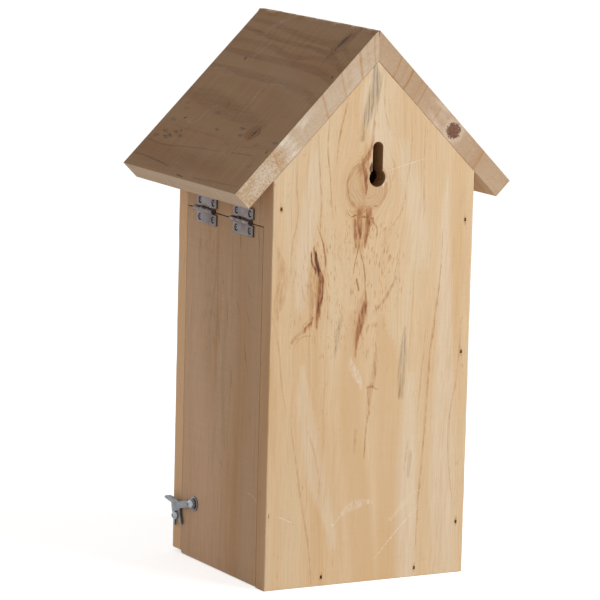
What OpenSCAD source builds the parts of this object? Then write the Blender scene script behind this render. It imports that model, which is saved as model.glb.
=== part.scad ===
// Wooden bird nest box with a pitched roof and a side door that swings up on two hinges.
// +Z is up, -Y is the front with the entrance hole, +Y is the back that hangs on the wall,
// and +X is the side with the door. The origin is on the ground below the middle of the roof.

/* [Box] */
// Width across the front and back panels
body_w = 125; // [110:1:160]
// Depth from the front face to the back face
body_d = 110; // [100:1:160]
// Height of the side faces, up to the underside of the roof
eave_h = 225; // [180:1:300]
// Thickness of the wall boards
wall_t = 10; // [9:0.5:14]
// Thickness of the floor board
floor_t = 10; // [8:0.5:16]
// Height of the front panel's lower edge above the ground
front_lift = 2; // [0:0.5:3]

/* [Roof] */
// Slope of the roof boards in degrees
roof_pitch = 45; // [40:1:50]
// Thickness of the roof boards
roof_t = 12; // [9:0.5:18]
// How far the underside of the roof reaches past the side faces
eave_overhang = 14.6; // [11:0.1:25]
// How far the roof reaches past the front face
front_overhang = 25; // [10:1:50]

/* [Door] */
// Height of the fixed header board above the door, on its outer face
header_h = 26.1; // [22:0.1:40]
// Saw cut between the header and the top of the door
saw_gap = 0.6; // [0.4:0.1:2]
// Gap between each upright edge of the door and the panel beside it
door_side_gap = 0.4; // [0.3:0.1:1.5]
// Gap under the door
door_foot_gap = 0.5; // [0.3:0.1:2]
// Gap between the closed door and the edge of the floor
door_stop_gap = 0.3; // [0.2:0.1:1]

/* [Entrance] */
// Diameter of the entrance hole
entrance_d = 32; // [25:1:50]
// Distance of the hole's middle below the eave line of the side faces
entrance_drop = 35; // [25:1:60]

/* [Keyhole in the back panel] */
// Diameter of the round hole that goes over a screw head
keyhole_d = 10; // [9:0.5:14]
// Width of the slot that slides down onto the screw
keyhole_slot_w = 6.4; // [4.5:0.1:6.6]
// Distance from the round hole's middle up to the slot's upper end
keyhole_travel = 16.5; // [10:0.5:24]
// Distance of the slot's upper end below the inner peak of the roof
keyhole_drop = 47; // [34:0.5:70]
// How far the keyhole sits to the side of the middle
keyhole_offset = -1.2; // [-5:0.1:5]

/* [Hinges] */
// Width of each hinge leaf along the door's edge
hinge_w = 23; // [22:0.5:30]
// Height of each leaf from the hinge axis
leaf_h = 7.8; // [7.2:0.1:10]
// Thickness of the leaves
leaf_t = 1; // [0.8:0.1:1.4]
// Outer radius of the knuckles
knuckle_r = 1.5; // [1.4:0.1:2.2]
// Gap between the knuckles and the face of the box
knuckle_gap = 0.2; // [0.1:0.05:0.5]
// How far the knuckles stop short of the leaf's rear end
knuckle_short = 2; // [1:0.5:4]
// Radius of the hinge pins
pin_r = 0.7; // [0.6:0.05:1]
// Radius of the pin's head
pin_head_r = 1.1; // [1:0.05:1.5]
// How far the pin's head stands out in front
pin_head_l = 2.2; // [1.5:0.1:4]
// Height of the hinge axis above the header's lower edge
axis_lift = 0.4; // [0:0.1:1]
// Distance from the front face to the middle of the front hinge
front_hinge_in = 34.8; // [30:0.1:44]
// Distance from the back face to the middle of the rear hinge
rear_hinge_in = 32.1; // [30:0.1:42]
// Distance between the two screws of a leaf
leaf_screw_pitch = 15.5; // [13:0.1:17]
// Height of the leaf screws above or below the hinge axis
leaf_screw_z = 4.7; // [4.3:0.1:5.4]

/* [Screws] */
// Radius of the hinge screws
screw_r = 1; // [0.8:0.05:1.2]
// Head radius of the hinge screws
screw_head_r = 2; // [1.7:0.05:2.1]
// Depth that the hinge screws reach into the wood
screw_depth = 8; // [5:0.5:8.5]
// Length of the screws' pointed ends
screw_tip = 3; // [2:0.5:4]
// Width of the cross recess in the hinge screws
screw_cross = 2.6; // [2:0.1:3]
// Width of the cross recess in the latch screws
latch_cross = 3; // [2.2:0.1:3.4]
// Depth of the cross recesses
cross_depth = 0.8; // [0.5:0.1:0.9]
// Radius of the latch screws
latch_screw_r = 1.25; // [1.1:0.05:1.3]
// Radius of the latch screw heads
latch_head_r = 2.55; // [2.3:0.05:3]
// Height of the latch screw heads
latch_head_h = 2.2; // [1.3:0.1:2.4]
// Depth that the pivot screw reaches into the door
pivot_depth = 8; // [5:0.5:8.5]
// Radius of the keeper screw
keeper_r = 1.05; // [0.9:0.05:1.2]
// Depth that the keeper screw reaches into the front panel's edge
keeper_depth = 14; // [8:1:30]

/* [Latch] */
// Distance from the front face to the keeper screw
keeper_in = 7.1; // [4:0.1:8]
// Height of the keeper screw above the ground
keeper_z = 21.7; // [16:0.1:60]
// Downward tilt of the closed hook in degrees
hook_tilt = 13; // [5:1:20]
// Distance from the pivot to the keeper along the hook's arm
keeper_reach = 20.8; // [19:0.1:30]
// Distance of the keeper below the arm's middle line
keeper_below = 5.7; // [5:0.1:8]
// Width of the hook's arm
arm_w = 4; // [3.4:0.1:5]
// Thickness of the hook
hook_t = 1.1; // [0.8:0.1:1.6]
// How far the hook's body reaches from the keeper back towards the pivot
hook_back = 5; // [4.6:0.1:7]
// How far the hook's body reaches from the keeper forwards
hook_nose = 4.4; // [4:0.1:6]
// Width of the ring round the hook's pivot hole
eye_rim = 1.9; // [1.5:0.1:2.5]
// Length of the prongs below the keeper screw
prong_l = 5.5; // [4:0.1:8]
// Width of the prongs' tips
prong_tip_w = 1; // [0.6:0.1:1.4]
// How far each prong leans back towards the pivot
prong_lean = 0.9; // [0.5:0.1:1.2]
// How much the hook's slot widens towards its mouth
slot_flare = 0.9; // [0.5:0.1:1.2]
// Length of the thumb tab
tab_l = 6.4; // [4:0.1:9]
// How much narrower the thumb tab's end is on the pivot's side
tab_taper = 2.2; // [1:0.1:4]
// Cut across the corners of the thumb tab
tab_corner = 0.9; // [0.5:0.1:1.5]
// Outward bend of the thumb tab in degrees
tab_bend = 52; // [30:1:75]
// Radius of the washer under the hook
washer_r = 4.15; // [3.4:0.05:5]
// Thickness of the washer
washer_t = 0.8; // [0.5:0.1:1.5]

/* [Brads] */
// Width of a brad
brad_w = 1.2; // [0.8:0.1:1.6]
// Height of a brad
brad_h = 1.8; // [1.2:0.1:2.2]
// Length of the brads in the front and back panels
brad_l = 25; // [20:1:32]
// Length of the brads in the roof
roof_brad_l = 30; // [25:1:34]
// Depth of a brad's end below the surface
brad_sink = 0.5; // [0.2:0.1:1]
// Height of the lowest brad in the fixed side
low_brad_z = 29; // [20:1:50]
// Height of the middle brad in the fixed side
mid_brad_z = 125; // [90:1:150]
// Distance of the top brad in the fixed side below the eave line
top_brad_drop = 26.4; // [16:0.1:30]
// Height of the header's brad above the header's lower edge
header_brad_up = 10.6; // [8:0.1:16]
// Distance of the floor's door-side brad from the middle
floor_brad_door = 27.3; // [10:0.1:40]
// Distance of the floor's other brad from the middle
floor_brad_fixed = 31.5; // [10:0.1:40]
// Distance of the upper roof brads down the slope from the inner peak
roof_brad_high = 24; // [22:1:36]
// Distance of the lower roof brads up the slope from the eave line of the side faces
roof_brad_low = 9; // [8:1:20]

/* [Fits] */
// Running clearance round the hinge pins and the hook's pivot
run_gap = 0.06; // [0.02:0.01:0.1]
// Clearance round screws and brads in the wood
wood_gap = 0.05; // [0.02:0.01:0.1]
// Side clearance between knuckles, and above and below the hook
slide_gap = 0.15; // [0.1:0.05:0.3]
// Clearance of the keeper screw in the hook's slot
keeper_gap = 0.25; // [0.15:0.05:0.5]

/* [Hidden] */
// How far a cut runs past the faces that it goes through
cut = 1;
// How far a countersink runs past the leaf's face, short of the knuckles
skim = 0.2;
side_x = body_w / 2;
back_y = (body_d + front_overhang) / 2;
front_y = back_y - body_d;
roof_front_y = front_y - front_overhang;
inner_back_y = back_y - wall_t;
inner_front_y = front_y + wall_t;
inner_x = side_x - wall_t;
peak_z = eave_h + side_x * tan(roof_pitch);
eave_x = side_x + eave_overhang;
eave_z = eave_h - eave_overhang * tan(roof_pitch);
header_z = eave_h - header_h;
door_top_z = header_z - saw_gap;
entrance_z = eave_h - entrance_drop;
slot_top_z = peak_z - keyhole_drop;
keyhole_z = slot_top_z - keyhole_travel;

axis_x = side_x + knuckle_gap + knuckle_r;
axis_z = header_z + axis_lift;
front_hinge_y = front_y + front_hinge_in;
rear_hinge_y = back_y - rear_hinge_in;
knuckle_l = (hinge_w - knuckle_short - 2 * slide_gap) / 3;
notch = knuckle_r + 2 * slide_gap;
screw_head_h = leaf_t;

keeper_y = front_y + keeper_in;
pivot_y = keeper_y + keeper_reach * cos(hook_tilt) - keeper_below * sin(hook_tilt);
pivot_z = keeper_z + keeper_reach * sin(hook_tilt) + keeper_below * cos(hook_tilt);
hook_x = side_x + washer_t + slide_gap;
latch_head_x = hook_x + hook_t + slide_gap;
eye_r = latch_screw_r + eye_rim;

// Brads in the front and back panels, as [x, z]
panel_brads = [
    [side_x - wall_t / 2, header_z + header_brad_up],
    [wall_t / 2 - side_x, eave_h - top_brad_drop],
    [wall_t / 2 - side_x, mid_brad_z],
    [wall_t / 2 - side_x, low_brad_z],
    [floor_brad_door, floor_t / 2],
    [-floor_brad_fixed, floor_t / 2]
];
// Brads in a roof board, as [distance down the slope from the inner peak, y]
eave_line = side_x / cos(roof_pitch);
roof_brads = [
    for (down = [roof_brad_high, eave_line - roof_brad_low])
    for (y = [back_y - wall_t / 2, front_y + wall_t / 2])
    [down, y]
];

pine = "#d9bd92";
shaded_pine = "#b08e66";
zinc = "#8f9499";
steel = "#6a5f55";

$fn = 48;

// An upright outline, drawn as [x, z], from y0 back to y1
module upright(y0, y1) {
    translate([0, y1, 0])
        rotate([90, 0, 0])
            linear_extrude(y1 - y0)
                children();
}

// Something that lies along +Y from y0, turned from +Z
module along_y(x, y0, z) {
    translate([x, y0, z])
        rotate([-90, 0, 0])
            children();
}

// Something that points out of the door side, turned from +Z
module out_of_side(x, y, z) {
    translate([x, y, z])
        rotate([0, 90, 0])
            children();
}

// Places each brad of the front and back panels, entering at y and driven towards -Y or +Y
module panel_brad_set(y, inward, grow) {
    for (b = panel_brads)
        translate([b[0], y + inward * brad_l / 2, b[1]])
            cube([brad_w + 2 * grow, brad_l, brad_h + 2 * grow], center = true);
}

module back_brad_shapes(grow) {
    panel_brad_set(back_y - brad_sink, -1, grow);
}

module front_brad_shapes(grow) {
    panel_brad_set(front_y + brad_sink, 1, grow);
}

// Open mouths above the sunk ends of the panel brads
module panel_brad_mouths(y) {
    for (b = panel_brads)
        translate([b[0], y, b[1]])
            cube([brad_w + 2 * wood_gap, 2 * brad_sink, brad_h + 2 * wood_gap], center = true);
}

// Turns the frame of one roof slope: +X runs down the slope and +Z stands up from the underside
module on_slope() {
    translate([0, 0, peak_z])
        rotate([0, roof_pitch, 0])
            children();
}

// Brads of the roof slope on the door side
module roof_brad_shapes(grow) {
    on_slope()
        for (b = roof_brads)
            translate([b[0], b[1], roof_t - brad_sink - roof_brad_l / 2])
                cube([brad_h + 2 * grow, brad_w + 2 * grow, roof_brad_l], center = true);
}

module roof_brad_mouths() {
    on_slope()
        for (b = roof_brads)
            translate([b[0], b[1], roof_t])
                cube([brad_h + 2 * wood_gap, brad_w + 2 * wood_gap, 2 * brad_sink], center = true);
}

module both_sides() {
    children();
    mirror([1, 0, 0])
        children();
}

// Gable outline that the front and back panels share
module gable(foot_z) {
    polygon([
        [-side_x, foot_z], [side_x, foot_z], [side_x, eave_h], [0, peak_z], [-side_x, eave_h]
    ]);
}

module back_panel() {
    color(pine)
        difference() {
            upright(inner_back_y, back_y)
                gable(0);
            translate([keyhole_offset, 0, 0])
                keyhole();
            back_brad_shapes(wood_gap);
            panel_brad_mouths(back_y);
            both_sides()
                roof_brad_shapes(wood_gap);
        }
}

// Round hole with a slot above it
module keyhole() {
    deep = wall_t + 2 * cut;
    along_y(0, inner_back_y - cut, keyhole_z)
        cylinder(h = deep, r = keyhole_d / 2);
    along_y(0, inner_back_y - cut, slot_top_z)
        cylinder(h = deep, r = keyhole_slot_w / 2);
    translate([-keyhole_slot_w / 2, inner_back_y - cut, keyhole_z])
        cube([keyhole_slot_w, deep, keyhole_travel]);
}

module front_panel() {
    color(pine)
        difference() {
            upright(front_y, inner_front_y)
                gable(front_lift);
            along_y(0, front_y - cut, entrance_z)
                cylinder(h = wall_t + 2 * cut, r = entrance_d / 2, $fn = 96);
            front_brad_shapes(wood_gap);
            panel_brad_mouths(front_y);
            both_sides()
                roof_brad_shapes(wood_gap);
            keeper_pilot();
        }
}

// Board on the door side that stands between the front and back panels, from z0 up to the roof
module side_board(z0) {
    upright(inner_front_y, inner_back_y)
        polygon([
            [inner_x, z0], [side_x, z0], [side_x, eave_h],
            [inner_x, eave_h + wall_t * tan(roof_pitch)]
        ]);
}

module fixed_side_panel() {
    color(shaded_pine)
        difference() {
            mirror([1, 0, 0])
                side_board(0);
            back_brad_shapes(wood_gap);
            front_brad_shapes(wood_gap);
        }
}

module door_header() {
    color(shaded_pine)
        difference() {
            side_board(header_z);
            back_brad_shapes(wood_gap);
            front_brad_shapes(wood_gap);
            leaf_screw_places(1)
                pilot(screw_r, screw_depth);
        }
}

module door_panel() {
    door_y = inner_front_y + door_side_gap;
    color(shaded_pine)
        difference() {
            translate([inner_x, door_y, door_foot_gap])
                cube([wall_t, inner_back_y - door_side_gap - door_y, door_top_z - door_foot_gap]);
            leaf_screw_places(-1)
                pilot(screw_r, screw_depth);
            out_of_side(side_x, pivot_y, pivot_z)
                pilot(latch_screw_r, pivot_depth);
        }
}

module floor_panel() {
    color(pine)
        difference() {
            translate([-inner_x, inner_front_y, 0])
                cube([2 * inner_x - door_stop_gap, inner_back_y - inner_front_y, floor_t]);
            back_brad_shapes(wood_gap);
            front_brad_shapes(wood_gap);
        }
}

// Roof board on the door side, mitred at the ridge
module roof_board() {
    eave_out = roof_t * sin(roof_pitch);
    eave_up = roof_t * cos(roof_pitch);
    difference() {
        upright(roof_front_y, back_y)
            polygon([
                [0, peak_z], [eave_x, eave_z], [eave_x + eave_out, eave_z + eave_up],
                [0, peak_z + roof_t / cos(roof_pitch)]
            ]);
        roof_brad_shapes(wood_gap);
        roof_brad_mouths();
    }
}

module roof_board_left() {
    color(shaded_pine)
        roof_board();
}

module roof_board_right() {
    color(shaded_pine)
        mirror([1, 0, 0])
            roof_board();
}

// Places something at the two screws of the leaf above (+1) or below (-1) the hinge axis
module leaf_screws_at(hinge_y, side) {
    for (end = [-1, 1])
        out_of_side(side_x, hinge_y + end * leaf_screw_pitch / 2, axis_z + side * leaf_screw_z)
            children();
}

// The same for both hinges
module leaf_screw_places(side) {
    for (hinge_y = [front_hinge_y, rear_hinge_y])
        leaf_screws_at(hinge_y, side)
            children();
}

// Hole in the wood for a screw that enters at the face, made from z = 0 down
module pilot(r, depth) {
    translate([0, 0, -depth])
        cylinder(h = depth + cut, r = r + wood_gap);
}

// Leaf of the hinge whose middle is at hinge_y, above (+1) or below (-1) the axis
module hinge_leaf(hinge_y, side, knuckles) {
    leaf_y = hinge_y - hinge_w / 2;
    step = knuckle_l + slide_gap;
    difference() {
        union() {
            translate([side_x, leaf_y, side > 0 ? axis_z + notch : axis_z - leaf_h])
                cube([leaf_t, hinge_w, leaf_h - notch]);
            for (k = knuckles) {
                translate([side_x, leaf_y + k * step, side > 0 ? axis_z : axis_z - notch])
                    cube([leaf_t, knuckle_l, notch]);
                along_y(axis_x, leaf_y + k * step, axis_z)
                    cylinder(h = knuckle_l, r = knuckle_r);
            }
        }
        along_y(axis_x, leaf_y - cut, axis_z)
            cylinder(h = hinge_w + 2 * cut, r = pin_r + run_gap);
        leaf_screws_at(hinge_y, side)
            countersink();
    }
}

// Cone in a leaf that takes the head of a hinge screw, with a little room all round
module countersink() {
    translate([0, 0, -cut])
        cylinder(h = leaf_t + 2 * cut, r = screw_r + wood_gap);
    flare = (screw_head_r - screw_r) * (leaf_t + skim) / leaf_t;
    cylinder(h = leaf_t + skim, r1 = screw_r + wood_gap, r2 = screw_r + wood_gap + flare);
}

module front_hinge_fixed_leaf() {
    color(zinc)
        hinge_leaf(front_hinge_y, 1, [0, 2]);
}

module front_hinge_door_leaf() {
    color(zinc)
        hinge_leaf(front_hinge_y, -1, [1]);
}

module rear_hinge_fixed_leaf() {
    color(zinc)
        hinge_leaf(rear_hinge_y, 1, [0, 2]);
}

module rear_hinge_door_leaf() {
    color(zinc)
        hinge_leaf(rear_hinge_y, -1, [1]);
}

// Pin with a rounded head that stands out at the front end of the knuckles
module hinge_pin(hinge_y) {
    barrel_y = hinge_y - hinge_w / 2;
    dome_y = barrel_y - pin_head_l + pin_head_r;
    along_y(axis_x, barrel_y, axis_z)
        cylinder(h = hinge_w - knuckle_short, r = pin_r);
    along_y(axis_x, dome_y, axis_z)
        cylinder(h = barrel_y - dome_y, r = pin_head_r);
    translate([axis_x, dome_y, axis_z])
        sphere(r = pin_head_r);
}

module front_hinge_pin() {
    color(zinc)
        hinge_pin(front_hinge_y);
}

module rear_hinge_pin() {
    color(zinc)
        hinge_pin(rear_hinge_y);
}

// Cross recess cut into a screw head whose top is at z = 0
module cross_recess(span) {
    blade = span / 4;
    for (turn = [0, 90])
        rotate([0, 0, turn])
            translate([-span / 2, -blade / 2, -cross_depth])
                cube([span, blade, cross_depth + cut]);
}

// Plain shank with a pointed end, from z = 0 down
module shank(r, l) {
    translate([0, 0, screw_tip - l])
        cylinder(h = l - screw_tip, r = r);
    translate([0, 0, -l])
        cylinder(h = screw_tip, r1 = r / 6, r2 = r);
}

// Countersunk hinge screw whose leaf lies on the face at z = 0
module hinge_screw() {
    difference() {
        union() {
            shank(screw_r, screw_depth);
            cylinder(h = screw_head_h, r1 = screw_r, r2 = screw_head_r);
        }
        translate([0, 0, screw_head_h])
            cross_recess(screw_cross);
    }
}

module header_hinge_screws() {
    color(zinc)
        leaf_screw_places(1)
            hinge_screw();
}

module door_hinge_screws() {
    color(zinc)
        leaf_screw_places(-1)
            hinge_screw();
}

// Domed latch screw: z = 0 is the face of the wood, and its head starts at z = under
module latch_screw(r, depth, under) {
    dome_r = (latch_head_h * latch_head_h + latch_head_r * latch_head_r) / (2 * latch_head_h);
    difference() {
        union() {
            shank(r, depth);
            cylinder(h = under + latch_head_h / 2, r = r);
            translate([0, 0, under])
                intersection() {
                    translate([0, 0, latch_head_h - dome_r])
                        sphere(r = dome_r, $fn = 64);
                    cylinder(h = latch_head_h + cut, r = latch_head_r);
                }
        }
        translate([0, 0, under + latch_head_h])
            cross_recess(latch_cross);
    }
}

module latch_pivot_screw() {
    color(zinc)
        out_of_side(side_x, pivot_y, pivot_z)
            latch_screw(latch_screw_r, pivot_depth, latch_head_x - side_x);
}

module latch_keeper_screw() {
    color(zinc)
        out_of_side(side_x, keeper_y, keeper_z)
            latch_screw(keeper_r, keeper_depth, latch_head_x - side_x);
}

module keeper_pilot() {
    out_of_side(side_x, keeper_y, keeper_z)
        pilot(keeper_r, keeper_depth);
}

module latch_washer() {
    color(zinc)
        out_of_side(side_x, pivot_y, pivot_z)
            difference() {
                cylinder(h = washer_t, r = washer_r);
                translate([0, 0, -cut])
                    cylinder(h = washer_t + 2 * cut, r = latch_screw_r + run_gap);
            }
}

// Frame of the hook: +X runs along the arm from the pivot, +Y points down and +Z out of the door
module on_hook() {
    translate([hook_x, pivot_y, pivot_z])
        rotate([hook_tilt - 90, 0, 0])
            rotate([0, 90, 0])
                children();
}

// Outline of the flat part of the hook
module hook_outline() {
    half = arm_w / 2;
    room = keeper_r + keeper_gap;
    heel = keeper_reach - hook_back;
    nose = keeper_reach + hook_nose;
    tip = keeper_below + prong_l;
    difference() {
        union() {
            circle(r = eye_r);
            translate([0, -half])
                square([heel, arm_w]);
            polygon([
                [heel - prong_lean, -half], [nose, -half], [nose, half],
                [nose - prong_lean / 2, keeper_below], [nose - 1.5 * prong_lean, tip],
                [nose - 1.5 * prong_lean - prong_tip_w, tip],
                [heel - prong_lean + prong_tip_w, tip], [heel - prong_lean, tip],
                [heel, keeper_below], [heel, half + prong_lean], [heel - prong_lean, half]
            ]);
        }
        circle(r = latch_screw_r + run_gap);
        translate([keeper_reach, keeper_below])
            circle(r = room);
        // The slot follows the keeper's path on the pivot's side and opens straight on the other
        difference() {
            translate([keeper_reach, keeper_below])
                polygon([
                    [-hook_back, 0], [room, 0], [room + slot_flare, prong_l + cut],
                    [-hook_back, prong_l + cut]
                ]);
            circle(r = norm([keeper_reach, keeper_below]) - room, $fn = 96);
        }
    }
}

// Thumb tab, folded outwards along the top of the hook's body
module thumb_tab() {
    start = keeper_reach - hook_back - prong_lean / 2;
    tab_w = hook_back + hook_nose;
    translate([start, -arm_w / 2, 0])
        rotate([-tab_bend, 0, 0])
            translate([0, -tab_l, 0])
                linear_extrude(hook_t)
                    polygon([
                        [0, tab_l], [tab_w, tab_l], [tab_w, tab_corner], [tab_w - tab_corner, 0],
                        [tab_taper, 0], [tab_taper - tab_corner, tab_corner]
                    ]);
}

module latch_hook() {
    color(zinc)
        on_hook() {
            linear_extrude(hook_t)
                hook_outline();
            thumb_tab();
        }
}

module back_panel_brads() {
    color(steel)
        back_brad_shapes(0);
}

module front_panel_brads() {
    color(steel)
        front_brad_shapes(0);
}

module roof_left_brads() {
    color(steel)
        roof_brad_shapes(0);
}

module roof_right_brads() {
    color(steel)
        mirror([1, 0, 0])
            roof_brad_shapes(0);
}

back_panel();
front_panel();
fixed_side_panel();
door_header();
door_panel();
floor_panel();
roof_board_left();
roof_board_right();
front_hinge_fixed_leaf();
front_hinge_door_leaf();
front_hinge_pin();
rear_hinge_fixed_leaf();
rear_hinge_door_leaf();
rear_hinge_pin();
header_hinge_screws();
door_hinge_screws();
latch_hook();
latch_washer();
latch_pivot_screw();
latch_keeper_screw();
back_panel_brads();
front_panel_brads();
roof_left_brads();
roof_right_brads();
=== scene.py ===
"""Bird nest box of planed pine, with steel hinges, a hook latch, screws and brads."""

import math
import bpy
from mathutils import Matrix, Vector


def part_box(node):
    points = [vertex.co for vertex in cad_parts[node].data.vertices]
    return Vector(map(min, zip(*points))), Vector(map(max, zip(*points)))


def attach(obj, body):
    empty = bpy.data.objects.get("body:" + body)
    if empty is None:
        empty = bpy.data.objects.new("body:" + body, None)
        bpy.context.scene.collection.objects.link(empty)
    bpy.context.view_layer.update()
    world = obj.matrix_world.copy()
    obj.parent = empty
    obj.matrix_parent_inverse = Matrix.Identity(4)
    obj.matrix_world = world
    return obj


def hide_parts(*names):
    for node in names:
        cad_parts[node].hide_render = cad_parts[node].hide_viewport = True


bl_info = {
    "name": "Bird nest box",
    "version": (1, 0, 0),
    "blender": (4, 5, 0),
    "location": "3D View > Sidebar > Nest Box",
    "description": "Dresses the packed nest box in wood and metal and sets up its stage",
    "category": "Object",
}

from collections import namedtuple

import bmesh
import bpy
from bpy.props import FloatProperty, FloatVectorProperty, IntProperty, PointerProperty
from mathutils import Matrix, Vector, noise

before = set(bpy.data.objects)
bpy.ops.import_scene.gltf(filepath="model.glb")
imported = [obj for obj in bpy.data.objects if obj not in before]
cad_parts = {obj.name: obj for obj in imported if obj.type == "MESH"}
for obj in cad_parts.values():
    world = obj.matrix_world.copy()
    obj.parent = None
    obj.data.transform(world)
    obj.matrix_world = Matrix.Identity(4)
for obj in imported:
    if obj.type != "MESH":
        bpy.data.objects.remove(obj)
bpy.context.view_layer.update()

MM = 0.001
X = Vector((1, 0, 0))
Y = Vector((0, 1, 0))
Z = Vector((0, 0, 1))


# Colours and nodes

def linear(code):
    """Linear RGBA of an sRGB hex colour such as "#d4b48d"."""
    shades = [int(code[i:i + 2], 16) / 255 for i in (1, 3, 5)]
    return [s / 12.92 if s <= 0.04045 else ((s + 0.055) / 1.055) ** 2.4 for s in shades] + [1.0]


def node(tree, kind, inputs=None, **settings):
    """Adds a node, applies its settings, and sets or links its inputs, each named or numbered.

    A link comes from a socket, or from the first output in use of a node.
    """
    made = tree.nodes.new(kind)
    for name, value in settings.items():
        setattr(made, name, value)
    for key, value in (inputs or {}).items():
        if isinstance(key, int):
            socket = made.inputs[key]
        else:
            socket = next(s for s in made.inputs if s.name == key and s.enabled)
        if isinstance(value, bpy.types.Node):
            value = next(s for s in value.outputs if s.enabled)
        if isinstance(value, bpy.types.NodeSocket):
            tree.links.new(value, socket)
        else:
            socket.default_value = value
    return made


def new_group(name, kind, inputs, outputs):
    """Empty node group with the given sockets; returns it with its input and output nodes."""
    tree = bpy.data.node_groups.new(name, kind)
    for in_out, sockets in (("INPUT", inputs), ("OUTPUT", outputs)):
        for title, socket_type, *default in sockets:
            made = tree.interface.new_socket(title, in_out=in_out, socket_type=socket_type)
            if default:
                made.default_value = default[0]
    return tree, tree.nodes.new("NodeGroupInput"), tree.nodes.new("NodeGroupOutput")


def blank_material(title):
    """New material with an empty node tree; returns both."""
    material = bpy.data.materials.new(title)
    material.use_nodes = True
    material.node_tree.nodes.clear()
    return material, material.node_tree


def pattern(tree, vector, period, detail, roughness=0.5, location=(0.0, 0.0, 0.0)):
    """Noise whose lumps are about a period long along each axis of the vector."""
    place = node(tree, "ShaderNodeMapping",
                 {"Vector": vector, "Location": location, "Scale": [1 / size for size in period]})
    return node(tree, "ShaderNodeTexNoise",
                {"Vector": place, "Scale": 1.0, "Detail": detail, "Roughness": roughness})


def strayed(tree, place, base, period, detail, reach):
    """The base, moved across the grain and into the wood by a noise of up to half the reach."""
    drift = pattern(tree, place, period, detail)
    centred = node(tree, "ShaderNodeVectorMath",
                   {0: drift.outputs["Color"], 1: (0.5, 0.5, 0.5)}, operation="SUBTRACT")
    return node(tree, "ShaderNodeVectorMath",
                {0: centred, 1: (reach, reach, 0.0), 2: base}, operation="MULTIPLY_ADD")


def gap_from(tree, vector, middle, reach):
    """Distance from a middle as a share of the reach; an endless reach leaves its axis out."""
    place = node(tree, "ShaderNodeMapping",
                 {"Vector": vector, "Scale": [1 / size for size in reach],
                  "Location": [-centre / size for centre, size in zip(middle, reach)]})
    return node(tree, "ShaderNodeVectorMath", {0: place}, operation="LENGTH")


def shaded(tree, colour, texture, values, shades):
    """The colour, darker and lighter as the texture runs from one value to another."""
    shade = node(tree, "ShaderNodeMapRange",
                 {"Value": texture, "From Min": values[0], "From Max": values[1],
                  "To Min": shades[0], "To Max": shades[1]})
    return node(tree, "ShaderNodeMix", {"Factor": 1.0, "A": colour, "B": shade},
                data_type="RGBA", blend_type="MULTIPLY", clamp_result=False)


# Boards, cut from a trunk whose axes are across the grain, deep into the board, and along it

# origin is a place on the outer face in mm; span and length are where streaks may lie across and
# along the board; corner is a worn corner's radius and place; end_knot is the place and size of a
# knot that the saw cut through at the board's back end
Board = namedtuple("Board", "node across along origin span length corner look streaks knots"
                   " end_knot", defaults=[None])

# course is a list of places along the board, places across it and half widths there, in mm;
# where the streak is crosswise, the place across the board comes first
Streak = namedtuple("Streak", "tint strength course crosswise", defaults=[False])

# middle is across and along, radius across the grain in mm, length how many times longer it is
# along the grain, rings how many it has, and shade how far its own colour shows
Knot = namedtuple("Knot", "middle radius length rings shade")

STREAK_REACH = 50.0  # half width in mm that a streak's width curve shows as 1
LEAST_HALF_WIDTH = 0.02  # mm, which keeps the thinnest streak from dividing by nothing
RING_END = 0.94  # share of a year's ring at which the latewood ends, sharply
BREAKS = (0.36, 0.62)  # values of a noise between which it goes from broken to whole
# The walls of holes are tinted darker, partly drilled wood and partly painted shade inside the
# hole
DRILLED_AND_SHADED = "#c4aa88"  # tint of the walls of holes
RUST = "#6b4a34"
# Colour of the recesses of screws and countersinks: painted shade and grime
GRIME_AND_SHADE = "#1f1b19"

# How much of each tint is left where the fibres break it, and where they hold it
BROKEN_BY_FIBRES = {"faded": (0.5, 1.1), "pale_and_lit": (0.45, 1.15), "bark": (0.4, 1.1),
                    "warm": (0.5, 1.1), "resin": (0.1, 1.25), "stain": (0.0, 1.1),
                    "pitch": (0.5, 1.2), "core": (0.7, 1.2), "mould": (0.2, 1.2),
                    "scuff_and_lit_spot": (-0.1, 1.1)}
SOFT_TINTS = ("faded", "pale_and_lit", "bark", "warm", "stain")

# Pitch soaks outwards: tint, the mask values between which it comes in, and how strong it gets
PITCH_LAYERS = [("resin", 0.0, 0.5, 0.6), ("pitch", 0.3, 0.85, 0.9), ("core", 0.75, 1.0, 0.7)]


def deep_axis(board):
    """Direction through the board, square to its two others."""
    return board.along.cross(board.across)


def trunk_frame(board):
    """Rotation from the object's axes to the board's across, deep and along."""
    return Matrix((board.across, deep_axis(board), board.along))


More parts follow.
